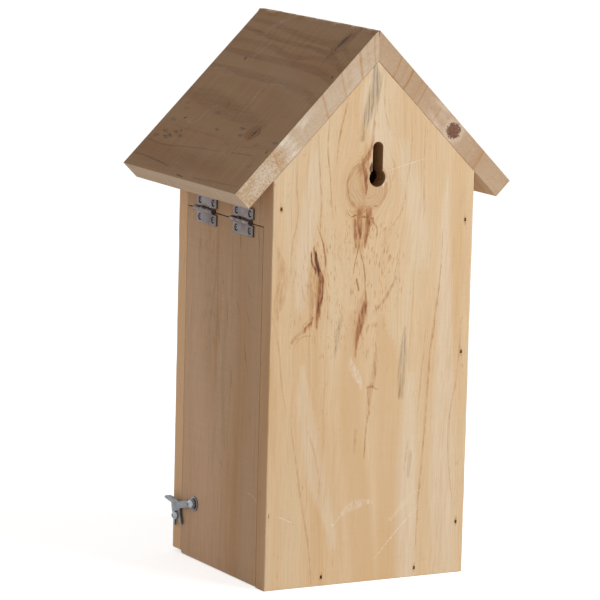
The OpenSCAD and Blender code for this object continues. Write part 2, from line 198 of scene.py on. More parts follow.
def grain_round_knot():
    """Group that bends grain lines round a knot, as water flows round a post."""
    tree, given, out = new_group(
        "Grain round a knot", "ShaderNodeTree",
        [("Vector", "NodeSocketVector"), ("Middle", "NodeSocketVector"),
         ("Radius", "NodeSocketFloat", 5.0), ("Length", "NodeSocketFloat", 1.5)],
        [("Vector", "NodeSocketVector"), ("Distance", "NodeSocketFloat")])
    away = node(tree, "ShaderNodeVectorMath",
                {0: given.outputs["Vector"], 1: given.outputs["Middle"]}, operation="SUBTRACT")
    parts = node(tree, "ShaderNodeSeparateXYZ", {"Vector": away})
    shorter = node(tree, "ShaderNodeMath",
                   {0: parts.outputs["Z"], 1: given.outputs["Length"]}, operation="DIVIDE")
    flat = node(tree, "ShaderNodeCombineXYZ", {"X": parts.outputs["X"], "Z": shorter})
    reach = node(tree, "ShaderNodeVectorMath", {0: flat}, operation="LENGTH")
    share = node(tree, "ShaderNodeMath",
                 {0: reach, 1: given.outputs["Radius"]}, operation="DIVIDE")
    square = node(tree, "ShaderNodeMath", {0: share, 1: share}, operation="MULTIPLY")
    inverse = node(tree, "ShaderNodeMath", {0: 1.0, 1: square}, operation="DIVIDE")
    squeeze = node(tree, "ShaderNodeMath", {0: inverse, 1: 1.0}, operation="MINIMUM")
    shift = node(tree, "ShaderNodeMath",
                 {0: parts.outputs["X"], 1: squeeze}, operation="MULTIPLY")
    offset = node(tree, "ShaderNodeCombineXYZ", {"X": shift})
    bent = node(tree, "ShaderNodeVectorMath",
                {0: given.outputs["Vector"], 1: offset}, operation="SUBTRACT")
    tree.links.new(bent.outputs["Vector"], out.inputs["Vector"])
    tree.links.new(share.outputs[0], out.inputs["Distance"])
    return tree


def streak_mask():
    """Group that turns a streak's middle and half width, as curves give them, into a mask."""
    tree, given, out = new_group(
        "Streak", "ShaderNodeTree",
        [("Across", "NodeSocketFloat"), ("Course", "NodeSocketColor"),
         ("Width", "NodeSocketFloat", 100.0), ("Strength", "NodeSocketFloat", 1.0)],
        [("Mask", "NodeSocketFloat")])
    course = node(tree, "ShaderNodeSeparateColor", {"Color": given.outputs["Course"]})
    away = node(tree, "ShaderNodeMath",
                {0: given.outputs["Across"], 1: course.outputs["Red"]}, operation="SUBTRACT")
    gap = node(tree, "ShaderNodeMath", {0: away}, operation="ABSOLUTE")
    gap_mm = node(tree, "ShaderNodeMath",
                  {0: gap, 1: given.outputs["Width"]}, operation="MULTIPLY")
    half_mm = node(tree, "ShaderNodeMath",
                   {0: course.outputs["Green"], 1: STREAK_REACH, 2: LEAST_HALF_WIDTH},
                   operation="MULTIPLY_ADD")
    share = node(tree, "ShaderNodeMath", {0: gap_mm, 1: half_mm}, operation="DIVIDE")
    edge = node(tree, "ShaderNodeMapRange",
                {"Value": share, "From Min": 0.5, "From Max": 1.4, "To Min": 1.0, "To Max": 0.0},
                interpolation_type="SMOOTHSTEP")
    shown = node(tree, "ShaderNodeMath",
                 {0: edge, 1: course.outputs["Blue"]}, operation="MULTIPLY")
    mask = node(tree, "ShaderNodeMath",
                {0: shown, 1: given.outputs["Strength"]}, operation="MULTIPLY")
    tree.links.new(mask.outputs[0], out.inputs["Mask"])
    return tree


def streak_course(tree, board, streak, along, across):
    """Mask of one streak that wanders along the board, or across it.

    Its curves hold its middle, its half width, and where it starts and ends.
    """
    ways = [(along, board.length), (across, board.span)]
    (ahead, ahead_span), (aside, aside_span) = ways[::-1] if streak.crosswise else ways
    stations = sorted(streak.course)
    reach = ahead_span[1] - ahead_span[0]
    width = aside_span[1] - aside_span[0]
    places = [(station[0] - ahead_span[0]) / reach for station in stations]
    middles = [(station[1] - aside_span[0]) / width for station in stations]
    halves = [station[2] / STREAK_REACH for station in stations]
    fades = [(0.4 + 3.0 * station[2]) / reach for station in (stations[0], stations[-1])]
    shown = [(places[0] - fades[0], 0), (places[0], 1), (places[-1], 1),
             (places[-1] + fades[1], 0)]
    curves = node(tree, "ShaderNodeRGBCurve", {"Color": ahead})
    channels = [list(zip(places, middles)), list(zip(places, halves)), shown]
    for curve, points in zip(curves.mapping.curves, channels):
        curve.points[0].location = points[0]
        curve.points[1].location = points[-1]
        for point in points[1:-1]:
            curve.points.new(*point)
    curves.mapping.extend = "HORIZONTAL"
    curves.mapping.update()
    return node(tree, "ShaderNodeGroup",
                {"Across": aside, "Course": curves.outputs["Color"], "Width": width,
                 "Strength": streak.strength}, node_tree=bpy.data.node_groups["Streak"])


def grain_flow(tree, board, trunk):
    """Where the grain runs, and each knot with the distance from its middle.

    The grain bends slowly, about once in 120 mm, wavers once in 30 mm, and flows round knots.
    """
    wander = strayed(tree, trunk, trunk, (45, 45, 120), 3.0, board.look["wander"])
    flow = strayed(tree, trunk, wander, (10, 10, 30), 2.0, board.look["waver"])
    knots = []
    for knot in board.knots:
        group = node(tree, "ShaderNodeGroup",
                     {"Vector": flow, "Middle": (knot.middle[0], 0.0, knot.middle[1]),
                      "Radius": knot.radius, "Length": knot.length},
                     node_tree=bpy.data.node_groups["Grain round a knot"])
        flow = group.outputs["Vector"]
        knots.append((knot, group.outputs["Distance"]))
    return flow, knots


def growth_rings(tree, look, flow):
    """Mask of the latewood lines about the pith, with some years harder than others."""
    from_pith = node(tree, "ShaderNodeVectorMath",
                     {0: flow, 1: (*look["pith"], 0.0)}, operation="SUBTRACT")
    level = node(tree, "ShaderNodeVectorMath",
                 {0: from_pith, 1: (1.0, 1.0, 0.0)}, operation="MULTIPLY")
    radius = node(tree, "ShaderNodeVectorMath", {0: level}, operation="LENGTH")
    years = node(tree, "ShaderNodeMath", {0: radius, 1: look["ring"]}, operation="DIVIDE")
    uneven = node(tree, "ShaderNodeTexNoise",
                  {"W": years, "Scale": 0.45, "Detail": 1.0}, noise_dimensions="1D")
    spread = node(tree, "ShaderNodeMath", {0: uneven, 1: 2.4, 2: years}, operation="MULTIPLY_ADD")
    ring = node(tree, "ShaderNodeMath", {0: spread}, operation="FRACT")
    year = node(tree, "ShaderNodeMath", {0: spread}, operation="FLOOR")
    latewood = node(tree, "ShaderNodeMapRange",
                    {"Value": ring, "From Min": look["soft"], "From Max": RING_END},
                    interpolation_type="SMOOTHSTEP")
    spring = node(tree, "ShaderNodeMapRange",
                  {"Value": ring, "From Min": RING_END, "To Min": 1.0, "To Max": 0.0})
    band = node(tree, "ShaderNodeMath", {0: latewood, 1: spring}, operation="MULTIPLY")
    season = node(tree, "ShaderNodeTexWhiteNoise", {"W": year}, noise_dimensions="1D")
    hard = node(tree, "ShaderNodeMapRange", {"Value": season, "From Min": 0.3})
    return node(tree, "ShaderNodeMath", {0: band, 1: hard}, operation="MULTIPLY")


def clear_wood(tree, look, pine, flow, rings, fibres):
    """Colour of wood without a flaw: bands, latewood that comes and goes, and fibres."""
    # Bands of warmer and paler wood, about 19 mm wide, with narrower ones within them
    bands = pattern(tree, flow, (19, 19, 210), 5.0, 0.52)
    warm = node(tree, "ShaderNodeMapRange", {"Value": bands, "From Min": 0.26, "From Max": 0.78})
    colour = node(tree, "ShaderNodeMix", {"Factor": warm, "A": pine.pale, "B": pine.warm},
                  data_type="RGBA")
    patches = pattern(tree, flow, (8, 8, 60), 3.0)
    present = node(tree, "ShaderNodeMapRange",
                   {"Value": patches, "From Min": 0.42, "From Max": 0.66,
                    "To Min": 0.04, "To Max": look["contrast"]})
    kept = node(tree, "ShaderNodeMapRange",
                {"Value": fibres, "From Min": 0.38, "From Max": 0.6, "To Min": 0.25,
                 "To Max": 1.3})
    there = node(tree, "ShaderNodeMath", {0: present, 1: kept}, operation="MULTIPLY")
    shown = node(tree, "ShaderNodeMath", {0: rings, 1: there}, operation="MULTIPLY")
    colour = node(tree, "ShaderNodeMix", {"Factor": shown, "A": colour, "B": pine.ring},
                  data_type="RGBA")
    return shaded(tree, colour, fibres, (0.3, 0.7), (1.0 - look["fibre"], 1.0 + look["fibre"]))


def torn_fibres(tree, look, trunk, flow, torn):
    """Mask of brown dashes 5 mm long, resin canals and torn fibres, most in the rough part."""
    dashes = pattern(tree, flow, (0.6, 0.6, 5), 2.0)
    (across, along), (half_width, half_length) = look["rough"]
    rough_gap = gap_from(tree, trunk, (across, 0.0, along), (half_width, math.inf, half_length))
    torn_most = node(tree, "ShaderNodeMapRange",
                     {"Value": rough_gap, "From Min": 0.4, "From Max": 1.1,
                      "To Min": 0.72, "To Max": 0.83}, interpolation_type="SMOOTHSTEP")
    start = node(tree, "ShaderNodeMath", {0: torn, 1: -0.28, 2: torn_most},
                 operation="MULTIPLY_ADD")
    end = node(tree, "ShaderNodeMath", {0: start, 1: 0.1}, operation="ADD")
    return node(tree, "ShaderNodeMapRange", {"Value": dashes, "From Min": start, "From Max": end})


def knot_marks(tree, board, pine, trunk, torn, knots, colour):
    """Adds the knots: a lumpy outline, faint rings that go on outside it, and a broken rim."""
    lumpy = node(tree, "ShaderNodeTexNoise", {"Vector": trunk, "Scale": 1 / 7, "Detail": 2.0})
    lumps = node(tree, "ShaderNodeMath", {0: lumpy, 1: 0.3, 2: -0.15}, operation="MULTIPLY_ADD")
    here = node(tree, "ShaderNodeMapRange",
                {"Value": torn, "From Min": BREAKS[0], "From Max": BREAKS[1], "To Min": 0.15})
    for knot, distance in knots:
        away = node(tree, "ShaderNodeMath", {0: distance, 1: lumps}, operation="ADD")
        turns = node(tree, "ShaderNodeMath", {0: away, 1: knot.rings}, operation="MULTIPLY")
        wave = node(tree, "ShaderNodeMath", {0: turns, 1: 0.5}, operation="PINGPONG")
        line = node(tree, "ShaderNodeMapRange",
                    {"Value": wave, "From Min": 0.2, "From Max": 0.5, "To Max": 0.55})
        inside = node(tree, "ShaderNodeMapRange",
                      {"Value": away, "From Min": 0.9, "From Max": 1.04,
                       "To Min": 1.0, "To Max": 0.0}, interpolation_type="SMOOTHSTEP")
        reach = node(tree, "ShaderNodeMapRange",
                     {"Value": away, "From Min": 0.95, "From Max": 1.7,
                      "To Min": 1.0, "To Max": 0.0})
        faint = node(tree, "ShaderNodeMath", {0: reach, 1: here}, operation="MULTIPLY")
        ringed = node(tree, "ShaderNodeMath", {0: faint, 1: line}, operation="MULTIPLY")
        near = node(tree, "ShaderNodeMath", {0: away, 1: 1.0}, operation="SUBTRACT")
        rim_gap = node(tree, "ShaderNodeMath", {0: near}, operation="ABSOLUTE")
        rim = node(tree, "ShaderNodeMapRange",
                   {"Value": rim_gap, "From Max": 0.9 / knot.radius,
                    "To Min": board.look["rim"], "To Max": 0.0}, interpolation_type="SMOOTHSTEP")
        rim_here = node(tree, "ShaderNodeMath", {0: rim, 1: here}, operation="MULTIPLY")
        filled = node(tree, "ShaderNodeMath", {0: inside, 1: knot.shade}, operation="MULTIPLY")
        colour = node(tree, "ShaderNodeMix", {"Factor": filled, "A": colour, "B": pine.knot},
                      data_type="RGBA")
        marked = node(tree, "ShaderNodeMath", {0: ringed, 1: rim_here}, operation="MAXIMUM")
        colour = node(tree, "ShaderNodeMix", {"Factor": marked, "A": colour, "B": pine.ring},
                      data_type="RGBA")
    return colour


def drawn_streaks(tree, board, pine, trunk, fibres, colour):
    """Adds resin, pitch, stains and pale scratches at their places, frayed along the grain."""
    fray = pattern(tree, trunk, (1.3, 1.3, 6), 4.0, 0.6)
    fray_mm = node(tree, "ShaderNodeMath",
                   {0: fray, 1: 1.5, 2: -0.75}, operation="MULTIPLY_ADD")
    raw = node(tree, "ShaderNodeSeparateXYZ", {"Vector": trunk})
    shares = []
    for axis, (start, end) in (("X", board.span), ("Z", board.length)):
        moved = node(tree, "ShaderNodeMath", {0: raw.outputs[axis], 1: fray_mm}, operation="ADD")
        shares.append(node(tree, "ShaderNodeMapRange",
                           {"Value": moved, "From Min": start, "From Max": end}))
    across, along = shares
    masks = {}
    for streak in board.streaks:
        mask = streak_course(tree, board, streak, along, across)
        if streak.tint in masks:
            mask = node(tree, "ShaderNodeMath", {0: masks[streak.tint], 1: mask},
                        operation="MAXIMUM")
        masks[streak.tint] = mask
    for tint, mask in masks.items():
        bare, full = BROKEN_BY_FIBRES[tint]
        broken = node(tree, "ShaderNodeMapRange",
                      {"Value": fibres if tint in SOFT_TINTS else fray, "From Min": BREAKS[0],
                       "From Max": BREAKS[1], "To Min": bare, "To Max": full})
        frayed = node(tree, "ShaderNodeMath", {0: mask, 1: broken}, operation="MULTIPLY",
                      use_clamp=True)
        if tint != "pitch":
            colour = node(tree, "ShaderNodeMix",
                          {"Factor": frayed, "A": colour, "B": getattr(pine, tint)},
                          data_type="RGBA", blend_type="MULTIPLY" if tint == "stain" else "MIX")
            continue
        for layer, start, end, most in PITCH_LAYERS:
            depth = node(tree, "ShaderNodeMapRange",
                         {"Value": frayed, "From Min": start, "From Max": end, "To Max": most})
            colour = node(tree, "ShaderNodeMix",
                          {"Factor": depth, "A": colour, "B": getattr(pine, layer)},
                          data_type="RGBA")
    return colour


def tinted_and_shaded(tree, look, colour):
    """Tints the outer face, the edges, the inner face and the holes' walls, each its own way:
    partly the wood's tone and weathering, partly painted shade on the side boards, the roof's top
    and the holes' walls.
    """
    facing = node(tree, "ShaderNodeAttribute", attribute_name="outer_face")
    outward = node(tree, "ShaderNodeMapRange", {"Value": facing.outputs["Fac"]})
    inward = node(tree, "ShaderNodeMapRange", {"Value": facing.outputs["Fac"], "From Max": -1.0})
    drilled = node(tree, "ShaderNodeAttribute", attribute_name="hole_wall")
    weather_and_shade = linear(look["tone_and_shade"])
    # Painted shade, in part: these tints darken the side boards, the roof's outer face and the
    # walls of holes
    for factor, tint in ((outward, look["weather_and_shade"]), (inward, look["inside"]),
                         (drilled.outputs["Fac"], DRILLED_AND_SHADED)):
        weather_and_shade = node(tree, "ShaderNodeMix", {"Factor": factor, "A": weather_and_shade, "B": linear(tint)},
                       data_type="RGBA")
    return node(tree, "ShaderNodeMix", {"Factor": 1.0, "A": colour, "B": weather_and_shade},
                data_type="RGBA", blend_type="MULTIPLY")


def sawn_end(tree, board, pine, trunk, rings, grit):
    """Colour of the ends, where the saw cut across the grain: speckled, dry and greyer."""
    look = board.look
    raw = node(tree, "ShaderNodeSeparateXYZ", {"Vector": trunk})
    mottle = node(tree, "ShaderNodeTexNoise", {"Vector": trunk, "Scale": 1 / 11, "Detail": 3.0})
    speckle = node(tree, "ShaderNodeMath", {0: mottle, 1: 0.5, 2: grit}, operation="MULTIPLY_ADD")
    pores = node(tree, "ShaderNodeMapRange",
                 {"Value": speckle, "From Min": 0.6, "From Max": 0.86})
    coarse = node(tree, "ShaderNodeMapRange",
                  {"Value": raw.outputs["X"], "From Min": look["speckle"][0],
                   "From Max": look["speckle"][1], "To Min": 0.3})
    smooth_tone = 0.62  # share of pale wood where the saw left the end smooth
    uneven = node(tree, "ShaderNodeMath", {0: pores, 1: smooth_tone}, operation="SUBTRACT")
    grainy = node(tree, "ShaderNodeMath", {0: uneven, 1: coarse, 2: smooth_tone},
                  operation="MULTIPLY_ADD")
    colour = node(tree, "ShaderNodeMix",
                  {"Factor": grainy, "A": pine.end_dark, "B": pine.end_pale}, data_type="RGBA")
    ringed = node(tree, "ShaderNodeMath", {0: rings, 1: look["end_rings"]}, operation="MULTIPLY")
    colour = node(tree, "ShaderNodeMix", {"Factor": ringed, "A": colour, "B": pine.ring},
                  data_type="RGBA")

    # Pale fuzz of broken fibres, strongest at one place across the end
    strength, middle, reach = look["fuzz"]
    fuzz = pattern(tree, trunk, (22, 9, 9), 6.0, 0.62)
    spread = node(tree, "ShaderNodeMapRange",
                  {"Value": fuzz, "From Min": 0.42, "From Max": 0.66, "To Max": strength})
    away = node(tree, "ShaderNodeMath", {0: raw.outputs["X"], 1: middle}, operation="SUBTRACT")
    gap = node(tree, "ShaderNodeMath", {0: away}, operation="ABSOLUTE")
    here = node(tree, "ShaderNodeMapRange",
                {"Value": gap, "From Min": 0.4 * reach, "From Max": reach,
                 "To Min": 1.0, "To Max": 0.2}, interpolation_type="SMOOTHSTEP")
    fuzzy = node(tree, "ShaderNodeMath", {0: spread, 1: here}, operation="MULTIPLY")
    colour = node(tree, "ShaderNodeMix", {"Factor": fuzzy, "A": colour, "B": pine.scuff_and_lit_spot},
                  data_type="RGBA")
    if board.end_knot:
        colour = cut_knot(tree, board.end_knot, pine, trunk, raw.outputs["Z"], colour)
    return node(tree, "ShaderNodeMix",
                {"Factor": 1.0, "A": colour, "B": linear(look["end_tint"])},
                data_type="RGBA", blend_type="MULTIPLY")


def cut_knot(tree, end_knot, pine, trunk, along, colour):
    """Adds a dark, splintered knot in a pale halo to the end that lies at positive lengths."""
    (across, deep), size = end_knot
    knot_gap = gap_from(tree, trunk, (across, deep, 0.0), (size, size, math.inf))
    splinters = node(tree, "ShaderNodeTexNoise",
                     {"Vector": trunk, "Scale": 0.9, "Detail": 5.0, "Roughness": 0.7})
    far_end = node(tree, "ShaderNodeMapRange", {"Value": along, "From Max": -1.0, "To Max": 9.0})
    outside = node(tree, "ShaderNodeMath", {0: knot_gap, 1: far_end}, operation="ADD")
    blurred = node(tree, "ShaderNodeMath", {0: splinters, 1: 1.3, 2: outside},
                   operation="MULTIPLY_ADD")
    bleached = node(tree, "ShaderNodeMapRange",
                    {"Value": blurred, "From Min": 1.5, "From Max": 2.2, "To Min": 0.5,
                     "To Max": 0.0}, interpolation_type="SMOOTHSTEP")
    colour = node(tree, "ShaderNodeMix", {"Factor": bleached, "A": colour, "B": pine.scuff_and_lit_spot},
                  data_type="RGBA")
    spotted = node(tree, "ShaderNodeMapRange",
                   {"Value": blurred, "From Min": 1.35, "From Max": 1.6, "To Min": 0.9,
                    "To Max": 0.0}, interpolation_type="SMOOTHSTEP")
    barky = node(tree, "ShaderNodeMapRange",
                 {"Value": splinters, "From Min": 0.42, "From Max": 0.6})
    heartwood = node(tree, "ShaderNodeMix", {"Factor": barky, "A": pine.core, "B": pine.pitch},
                     data_type="RGBA")
    return node(tree, "ShaderNodeMix", {"Factor": spotted, "A": colour, "B": heartwood},
                data_type="RGBA")


def pine_material(title, board, pine):
    """Bare pine, sawn and planed but not sealed: matt, with darker latewood along the grain.

    Light springs softly from it, its fibres catch a little light, and resin darkens its knots.
    """
    material, tree = blank_material(title)
    look = board.look
    turn = trunk_frame(board)
    place = node(tree, "ShaderNodeTexCoord")
    trunk = node(tree, "ShaderNodeMapping",
                 {"Vector": place.outputs["Object"], "Location": -(turn @ Vector(board.origin)),
                  "Rotation": turn.to_euler(), "Scale": (1 / MM, 1 / MM, 1 / MM)})
    flow, knots = grain_flow(tree, board, trunk)
    rings = growth_rings(tree, look, flow)
    # Fibres and saw marks are drawn wide enough to show: 0.7 mm across, and 1 mm apart
    fibres = pattern(tree, flow, (0.7, 0.7, 22), 4.0, 0.62)
    teeth = pattern(tree, trunk, (40, 40, 1), 1.5)
    torn = pattern(tree, trunk, (13, 13, 26), 3.0, location=(3.1, 0.0, 1.7))
    flecks = torn_fibres(tree, look, trunk, flow, torn)

    colour = clear_wood(tree, look, pine, flow, rings, fibres)
    flecked = node(tree, "ShaderNodeMath", {0: flecks, 1: look["flecks"]}, operation="MULTIPLY")
    colour = node(tree, "ShaderNodeMix", {"Factor": flecked, "A": colour, "B": pine.resin},
                  data_type="RGBA")
    colour = knot_marks(tree, board, pine, trunk, torn, knots, colour)
    colour = drawn_streaks(tree, board, pine, trunk, fibres, colour)
    colour = shaded(tree, colour, teeth, (0.35, 0.65), (1.0 - look["saw"], 1.0 + look["saw"]))
    colour = tinted_and_shaded(tree, look, colour)
    end = node(tree, "ShaderNodeAttribute", attribute_name="end_grain")
    grit = node(tree, "ShaderNodeTexNoise",
                {"Vector": trunk, "Scale": 1.1, "Detail": 2.0, "Roughness": 0.7})
    end_colour = sawn_end(tree, board, pine, trunk, rings, grit)
    colour = node(tree, "ShaderNodeMix",
                  {"Factor": end.outputs["Fac"], "A": colour, "B": end_colour}, data_type="RGBA")

    # Planed fibres stand up by a few hundredths of a millimetre
    relief = node(tree, "ShaderNodeMath", {0: rings, 1: 0.5, 2: fibres}, operation="MULTIPLY_ADD")
    dented = node(tree, "ShaderNodeMath",
                  {0: flecks, 1: -0.6, 2: relief}, operation="MULTIPLY_ADD")
    scored = node(tree, "ShaderNodeMath",
                  {0: teeth, 1: 8 * look["saw"], 2: dented}, operation="MULTIPLY_ADD")
    height = node(tree, "ShaderNodeMix",
                  {"Factor": end.outputs["Fac"], "A": scored, "B": grit}, data_type="FLOAT")
    bump = node(tree, "ShaderNodeBump",
                {"Strength": look["bump"], "Distance": 0.12 * MM, "Height": height})
    roughness = node(tree, "ShaderNodeMapRange",
                     {"Value": fibres, "From Min": 0.3, "From Max": 0.7,
                      "To Min": 0.6, "To Max": 0.76})
    shader = node(tree, "ShaderNodeBsdfPrincipled",
                  {"Base Color": colour, "Roughness": roughness, "IOR": 1.5, "Normal": bump,
                   "Specular IOR Level": 0.3})
    node(tree, "ShaderNodeOutputMaterial", {"Surface": shader})
    return material


def steel_material(title, tint, dull, roughness, grain_mm, rust=0.0):
    """Zinc plated steel, rolled or turned: grey, satin, with faint rolling lines and dull patches.

    The plating blurs reflections unevenly, handling leaves duller, darker patches on it, and the
    recesses of screws and countersinks are painted dark, partly as grime and partly as painted
    shade.
    """
    material, tree = blank_material(title)
    place = node(tree, "ShaderNodeTexCoord")
    metal = node(tree, "ShaderNodeMapping",
                 {"Vector": place.outputs["Object"], "Scale": (1 / MM, 1 / MM, 1 / MM)})
    patches = node(tree, "ShaderNodeTexNoise", {"Vector": metal, "Scale": 0.16, "Detail": 3.0})
    lines = pattern(tree, metal, (grain_mm, 9, grain_mm), 2.0)
    dulled = node(tree, "ShaderNodeMapRange",
                  {"Value": patches, "From Min": 0.38, "From Max": 0.68})
    colour = node(tree, "ShaderNodeMix", {"Factor": dulled, "A": tint, "B": dull},
                  data_type="RGBA")
    colour = shaded(tree, colour, lines, (0.3, 0.7), (0.95, 1.04))
    if rust:
        spots = node(tree, "ShaderNodeTexNoise", {"Vector": metal, "Scale": 1.4, "Detail": 3.0})
        spotted = node(tree, "ShaderNodeMapRange",
                       {"Value": spots, "From Min": 0.55, "From Max": 0.7, "To Max": rust})
        colour = node(tree, "ShaderNodeMix",
                      {"Factor": spotted, "A": colour, "B": linear(RUST)}, data_type="RGBA")
    # Painted shade and grime: the marked recesses are darkened towards the grime colour
    recess = node(tree, "ShaderNodeAttribute", attribute_name="recess")
    grime_and_shade = node(tree, "ShaderNodeMath", {0: recess.outputs["Fac"], 1: 0.85},
                  operation="MULTIPLY")
    colour = node(tree, "ShaderNodeMix", {"Factor": grime_and_shade, "A": colour, "B": linear(GRIME_AND_SHADE)},
                  data_type="RGBA")
    gloss = node(tree, "ShaderNodeMapRange",
                 {"Value": patches, "From Min": 0.3, "From Max": 0.7,
                  "To Min": roughness - 0.05, "To Max": roughness + 0.06})
    bump = node(tree, "ShaderNodeBump", {"Strength": 0.12, "Distance": 0.02 * MM, "Height": lines})
    shader = node(tree, "ShaderNodeBsdfPrincipled",
                  {"Base Color": colour, "Metallic": 1.0, "Roughness": gloss, "Normal": bump})
    node(tree, "ShaderNodeOutputMaterial", {"Surface": shader})
    return material


# Meshes

MERGE_GAP = 0.002 * MM  # corners of CAD triangles this near to each other are one
FLAT_BEND = math.radians(0.5)  # CAD triangles that bend less than this are one face
ON_PLANE = 0.005 * MM  # a corner this near to a plane lies on it
NEAR = 0.01 * MM  # slack in telling which edges lie at the ridge or on the outer face
MICRON = 1e-6
PARALLEL = 0.9999  # cosine above which two faces look the same way
LEVEL = 0.9995  # cosine above which a face lies in one of the board's planes
COUNTERSINK_REACH = 63.6 * MM  # the outer faces of the hinge leaves lie below this x


def joined_copy(node_name):
    """Copy of a CAD node's mesh with its loose triangles joined at their corners."""
    bm = bmesh.new()
    bm.from_mesh(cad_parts[node_name].data)
    bmesh.ops.remove_doubles(bm, verts=bm.verts, dist=MERGE_GAP)
    return bm


def clean_copy(node_name):
    """Joined copy of a CAD node's mesh with one face for each of its flat sides."""
    bm = joined_copy(node_name)
    bmesh.ops.dissolve_limit(bm, angle_limit=FLAT_BEND, verts=bm.verts, edges=bm.edges)
    return bm


def bends(edge, degrees):
    """Whether two faces meet at the edge by more than this angle."""
    return len(edge.link_faces) == 2 and edge.calc_face_angle() > math.radians(degrees)


def round_edges(bm, edges, radius, segments, clamped=False):
    """Rounds the edges, kept from running into each other where clamped."""
    bmesh.ops.bevel(bm, geom=edges, offset=radius, offset_type="OFFSET", segments=segments,
                    profile=0.5, affect="EDGES", clamp_overlap=clamped)


def crease(bm, degrees):
    """Keeps the edges sharp at which the surface bends by more than this angle."""
    for edge in bm.edges:
        if bends(edge, degrees):
            edge.smooth = False


def add_piece(name, mesh):
    """Object at the origin whose mesh holds its place."""
    piece = bpy.data.objects.new(name, mesh)
    bpy.context.scene.collection.objects.link(piece)
    return piece


def finished_piece(bm, name, material):
    """Piece made of the mesh that has been worked on, in a material."""
    mesh = bpy.data.meshes.new(name)
    bm.to_mesh(mesh)
    bm.free()
    mesh.materials.append(material)
    return add_piece(name, mesh)


def paint_node(node_name, material):
    """Gives a CAD node a finish without touching its mesh."""
    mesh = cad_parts[node_name].data
    mesh.materials.clear()
    mesh.materials.append(material)


def stand_for(piece, body, slot, *nodes):
    """Makes the piece ride on a body in place of its CAD nodes."""
    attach(piece, body)
    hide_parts(*nodes)


def outer_planes(bm):
    """Planes, as normal and distance, that have the whole of the mesh on one side."""
    planes = []
    for face in bm.faces:
        normal = face.normal.copy()
        level = normal.dot(face.verts[0].co)
        if any(normal.dot(n) > PARALLEL and abs(level - d) < MICRON for n, d in planes):
            continue
        if max(normal.dot(v.co) for v in bm.verts) < level + NEAR:
            planes.append((normal, level))
    return planes


def planes_at(verts, planes):
    """How many of the planes all these corners lie on."""
    return sum(all(abs(n.dot(v.co) - d) < ON_PLANE for v in verts) for n, d in planes)


def cut_across(bm, axis, step):
    """Cuts the mesh square to an axis at every step, so that its edges can be worn."""
    places = [axis.dot(v.co) for v in bm.verts]
    count = int((max(places) - min(places)) / step)
    for i in range(1, count):
        everything = bm.verts[:] + bm.edges[:] + bm.faces[:]
        bmesh.ops.bisect_plane(bm, geom=everything, dist=1e-7,
                               plane_co=axis * (min(places) + i * step), plane_no=axis)


def round_board(bm, board, wood, planes, ridge):
    """Rounds a worn corner, the edge at the ridge, and the outlines of the two faces."""
    if board.corner:
        radius, spot = board.corner
        spot = Vector(spot) * MM
        outline = [e for e in bm.edges if all(planes_at([v], planes) >= 2 for v in e.verts)]
        corner = min(outline, key=lambda e: ((e.verts[0].co + e.verts[1].co) / 2 - spot).length)
        round_edges(bm, [corner], radius * MM, 5)
    if ridge:
        top = [e for e in bm.edges if all(v.co.z > ridge - NEAR for v in e.verts)]
        round_edges(bm, top, wood.ridge, 3)
    deep = deep_axis(board)
    surface = deep.dot(Vector(board.origin) * MM)
    for outer, rounding in zip((True, False), board.look["round"]):
        outline = [e for e in bm.edges
                   if bends(e, 30) and planes_at(e.verts, planes) >= 2
                   and not (ridge and all(abs(v.co.x) < NEAR for v in e.verts))
                   and outer == all(abs(deep.dot(v.co) - surface) < NEAR for v in e.verts)]
        round_edges(bm, outline, wood.edge * rounding, 2, clamped=True)


def wear_edges(bm, wood, planes, ridge):
    """Moves the corners near the outlines in and out, in lumps of about 17 and 4 mm.

    The edge at the ridge is splintered: its lumps are about 9 and 3 mm, and deeper.
    """
    moves = []
    for vert in bm.verts:
        spot = vert.co / MM
        ragged = 0.8 * noise.noise(spot / 17) + 0.35 * noise.noise(spot / 4 + Vector((7, 3, 1)))
        share = max(-0.7, min(1.6, wood.wear * ragged))
        near_ridge = ridge and vert.co.z > ridge - wood.ridge * 1.5
        if near_ridge:
            share = max(-0.9, min(2.2, 4.5 * noise.noise(spot / 9) + 1.8 * noise.noise(spot / 3)))
        reach = wood.ridge if near_ridge else wood.edge
        move = Vector((0, 0, 0))
        for normal, level in planes:
            depth = level - normal.dot(vert.co)
            if MICRON < depth < reach * 1.02:
                move -= normal * depth * share
        moves.append(move)
    for vert, move in zip(bm.verts, moves):
        vert.co += move
    bm.normal_update()


def mark_faces(bm, board, width, planes):
    """Attributes for the wood: sawn ends, how far a face looks outwards, and walls of holes."""
    deep = deep_axis(board)
    middle = sum((v.co for v in bm.verts), Vector()) / len(bm.verts)
    outward = deep if deep.dot(Vector(board.origin) * MM - middle) > 0 else -deep
    end_grain = bm.faces.layers.float.new("end_grain")
    outer_face = bm.faces.layers.float.new("outer_face")
    hole_wall = bm.faces.layers.float.new("hole_wall")
    for face in bm.faces:
        spot = face.calc_center_median()
        shallow = sum(d - n.dot(spot) < width for n, d in planes)
        face[end_grain] = 1.0 if abs(face.normal.dot(board.along)) > 0.75 and shallow else 0.0
        face[outer_face] = face.normal.dot(outward)
        face[hole_wall] = 0.0 if shallow else 1.0


def worn_board(board, wood, material):
    """The board's own shape with its outer edges rounded and unevenly worn."""
    bm = clean_copy(board.node)
    planes = outer_planes(bm)
    ridge = board.origin[2] * MM if board.origin == RIDGE else None
    round_board(bm, board, wood, planes, ridge)
    cut_across(bm, board.along, wood.cut)
    cut_across(bm, board.across, wood.cut)
    wear_edges(bm, wood, planes, ridge)
    for face in bm.faces:
        face.smooth = all(face.normal.dot(n) < LEVEL for n, _ in planes)
    crease(bm, 50)
    mark_faces(bm, board, wood.edge, planes)
    return finished_piece(bm, board.node + "_worn", material)


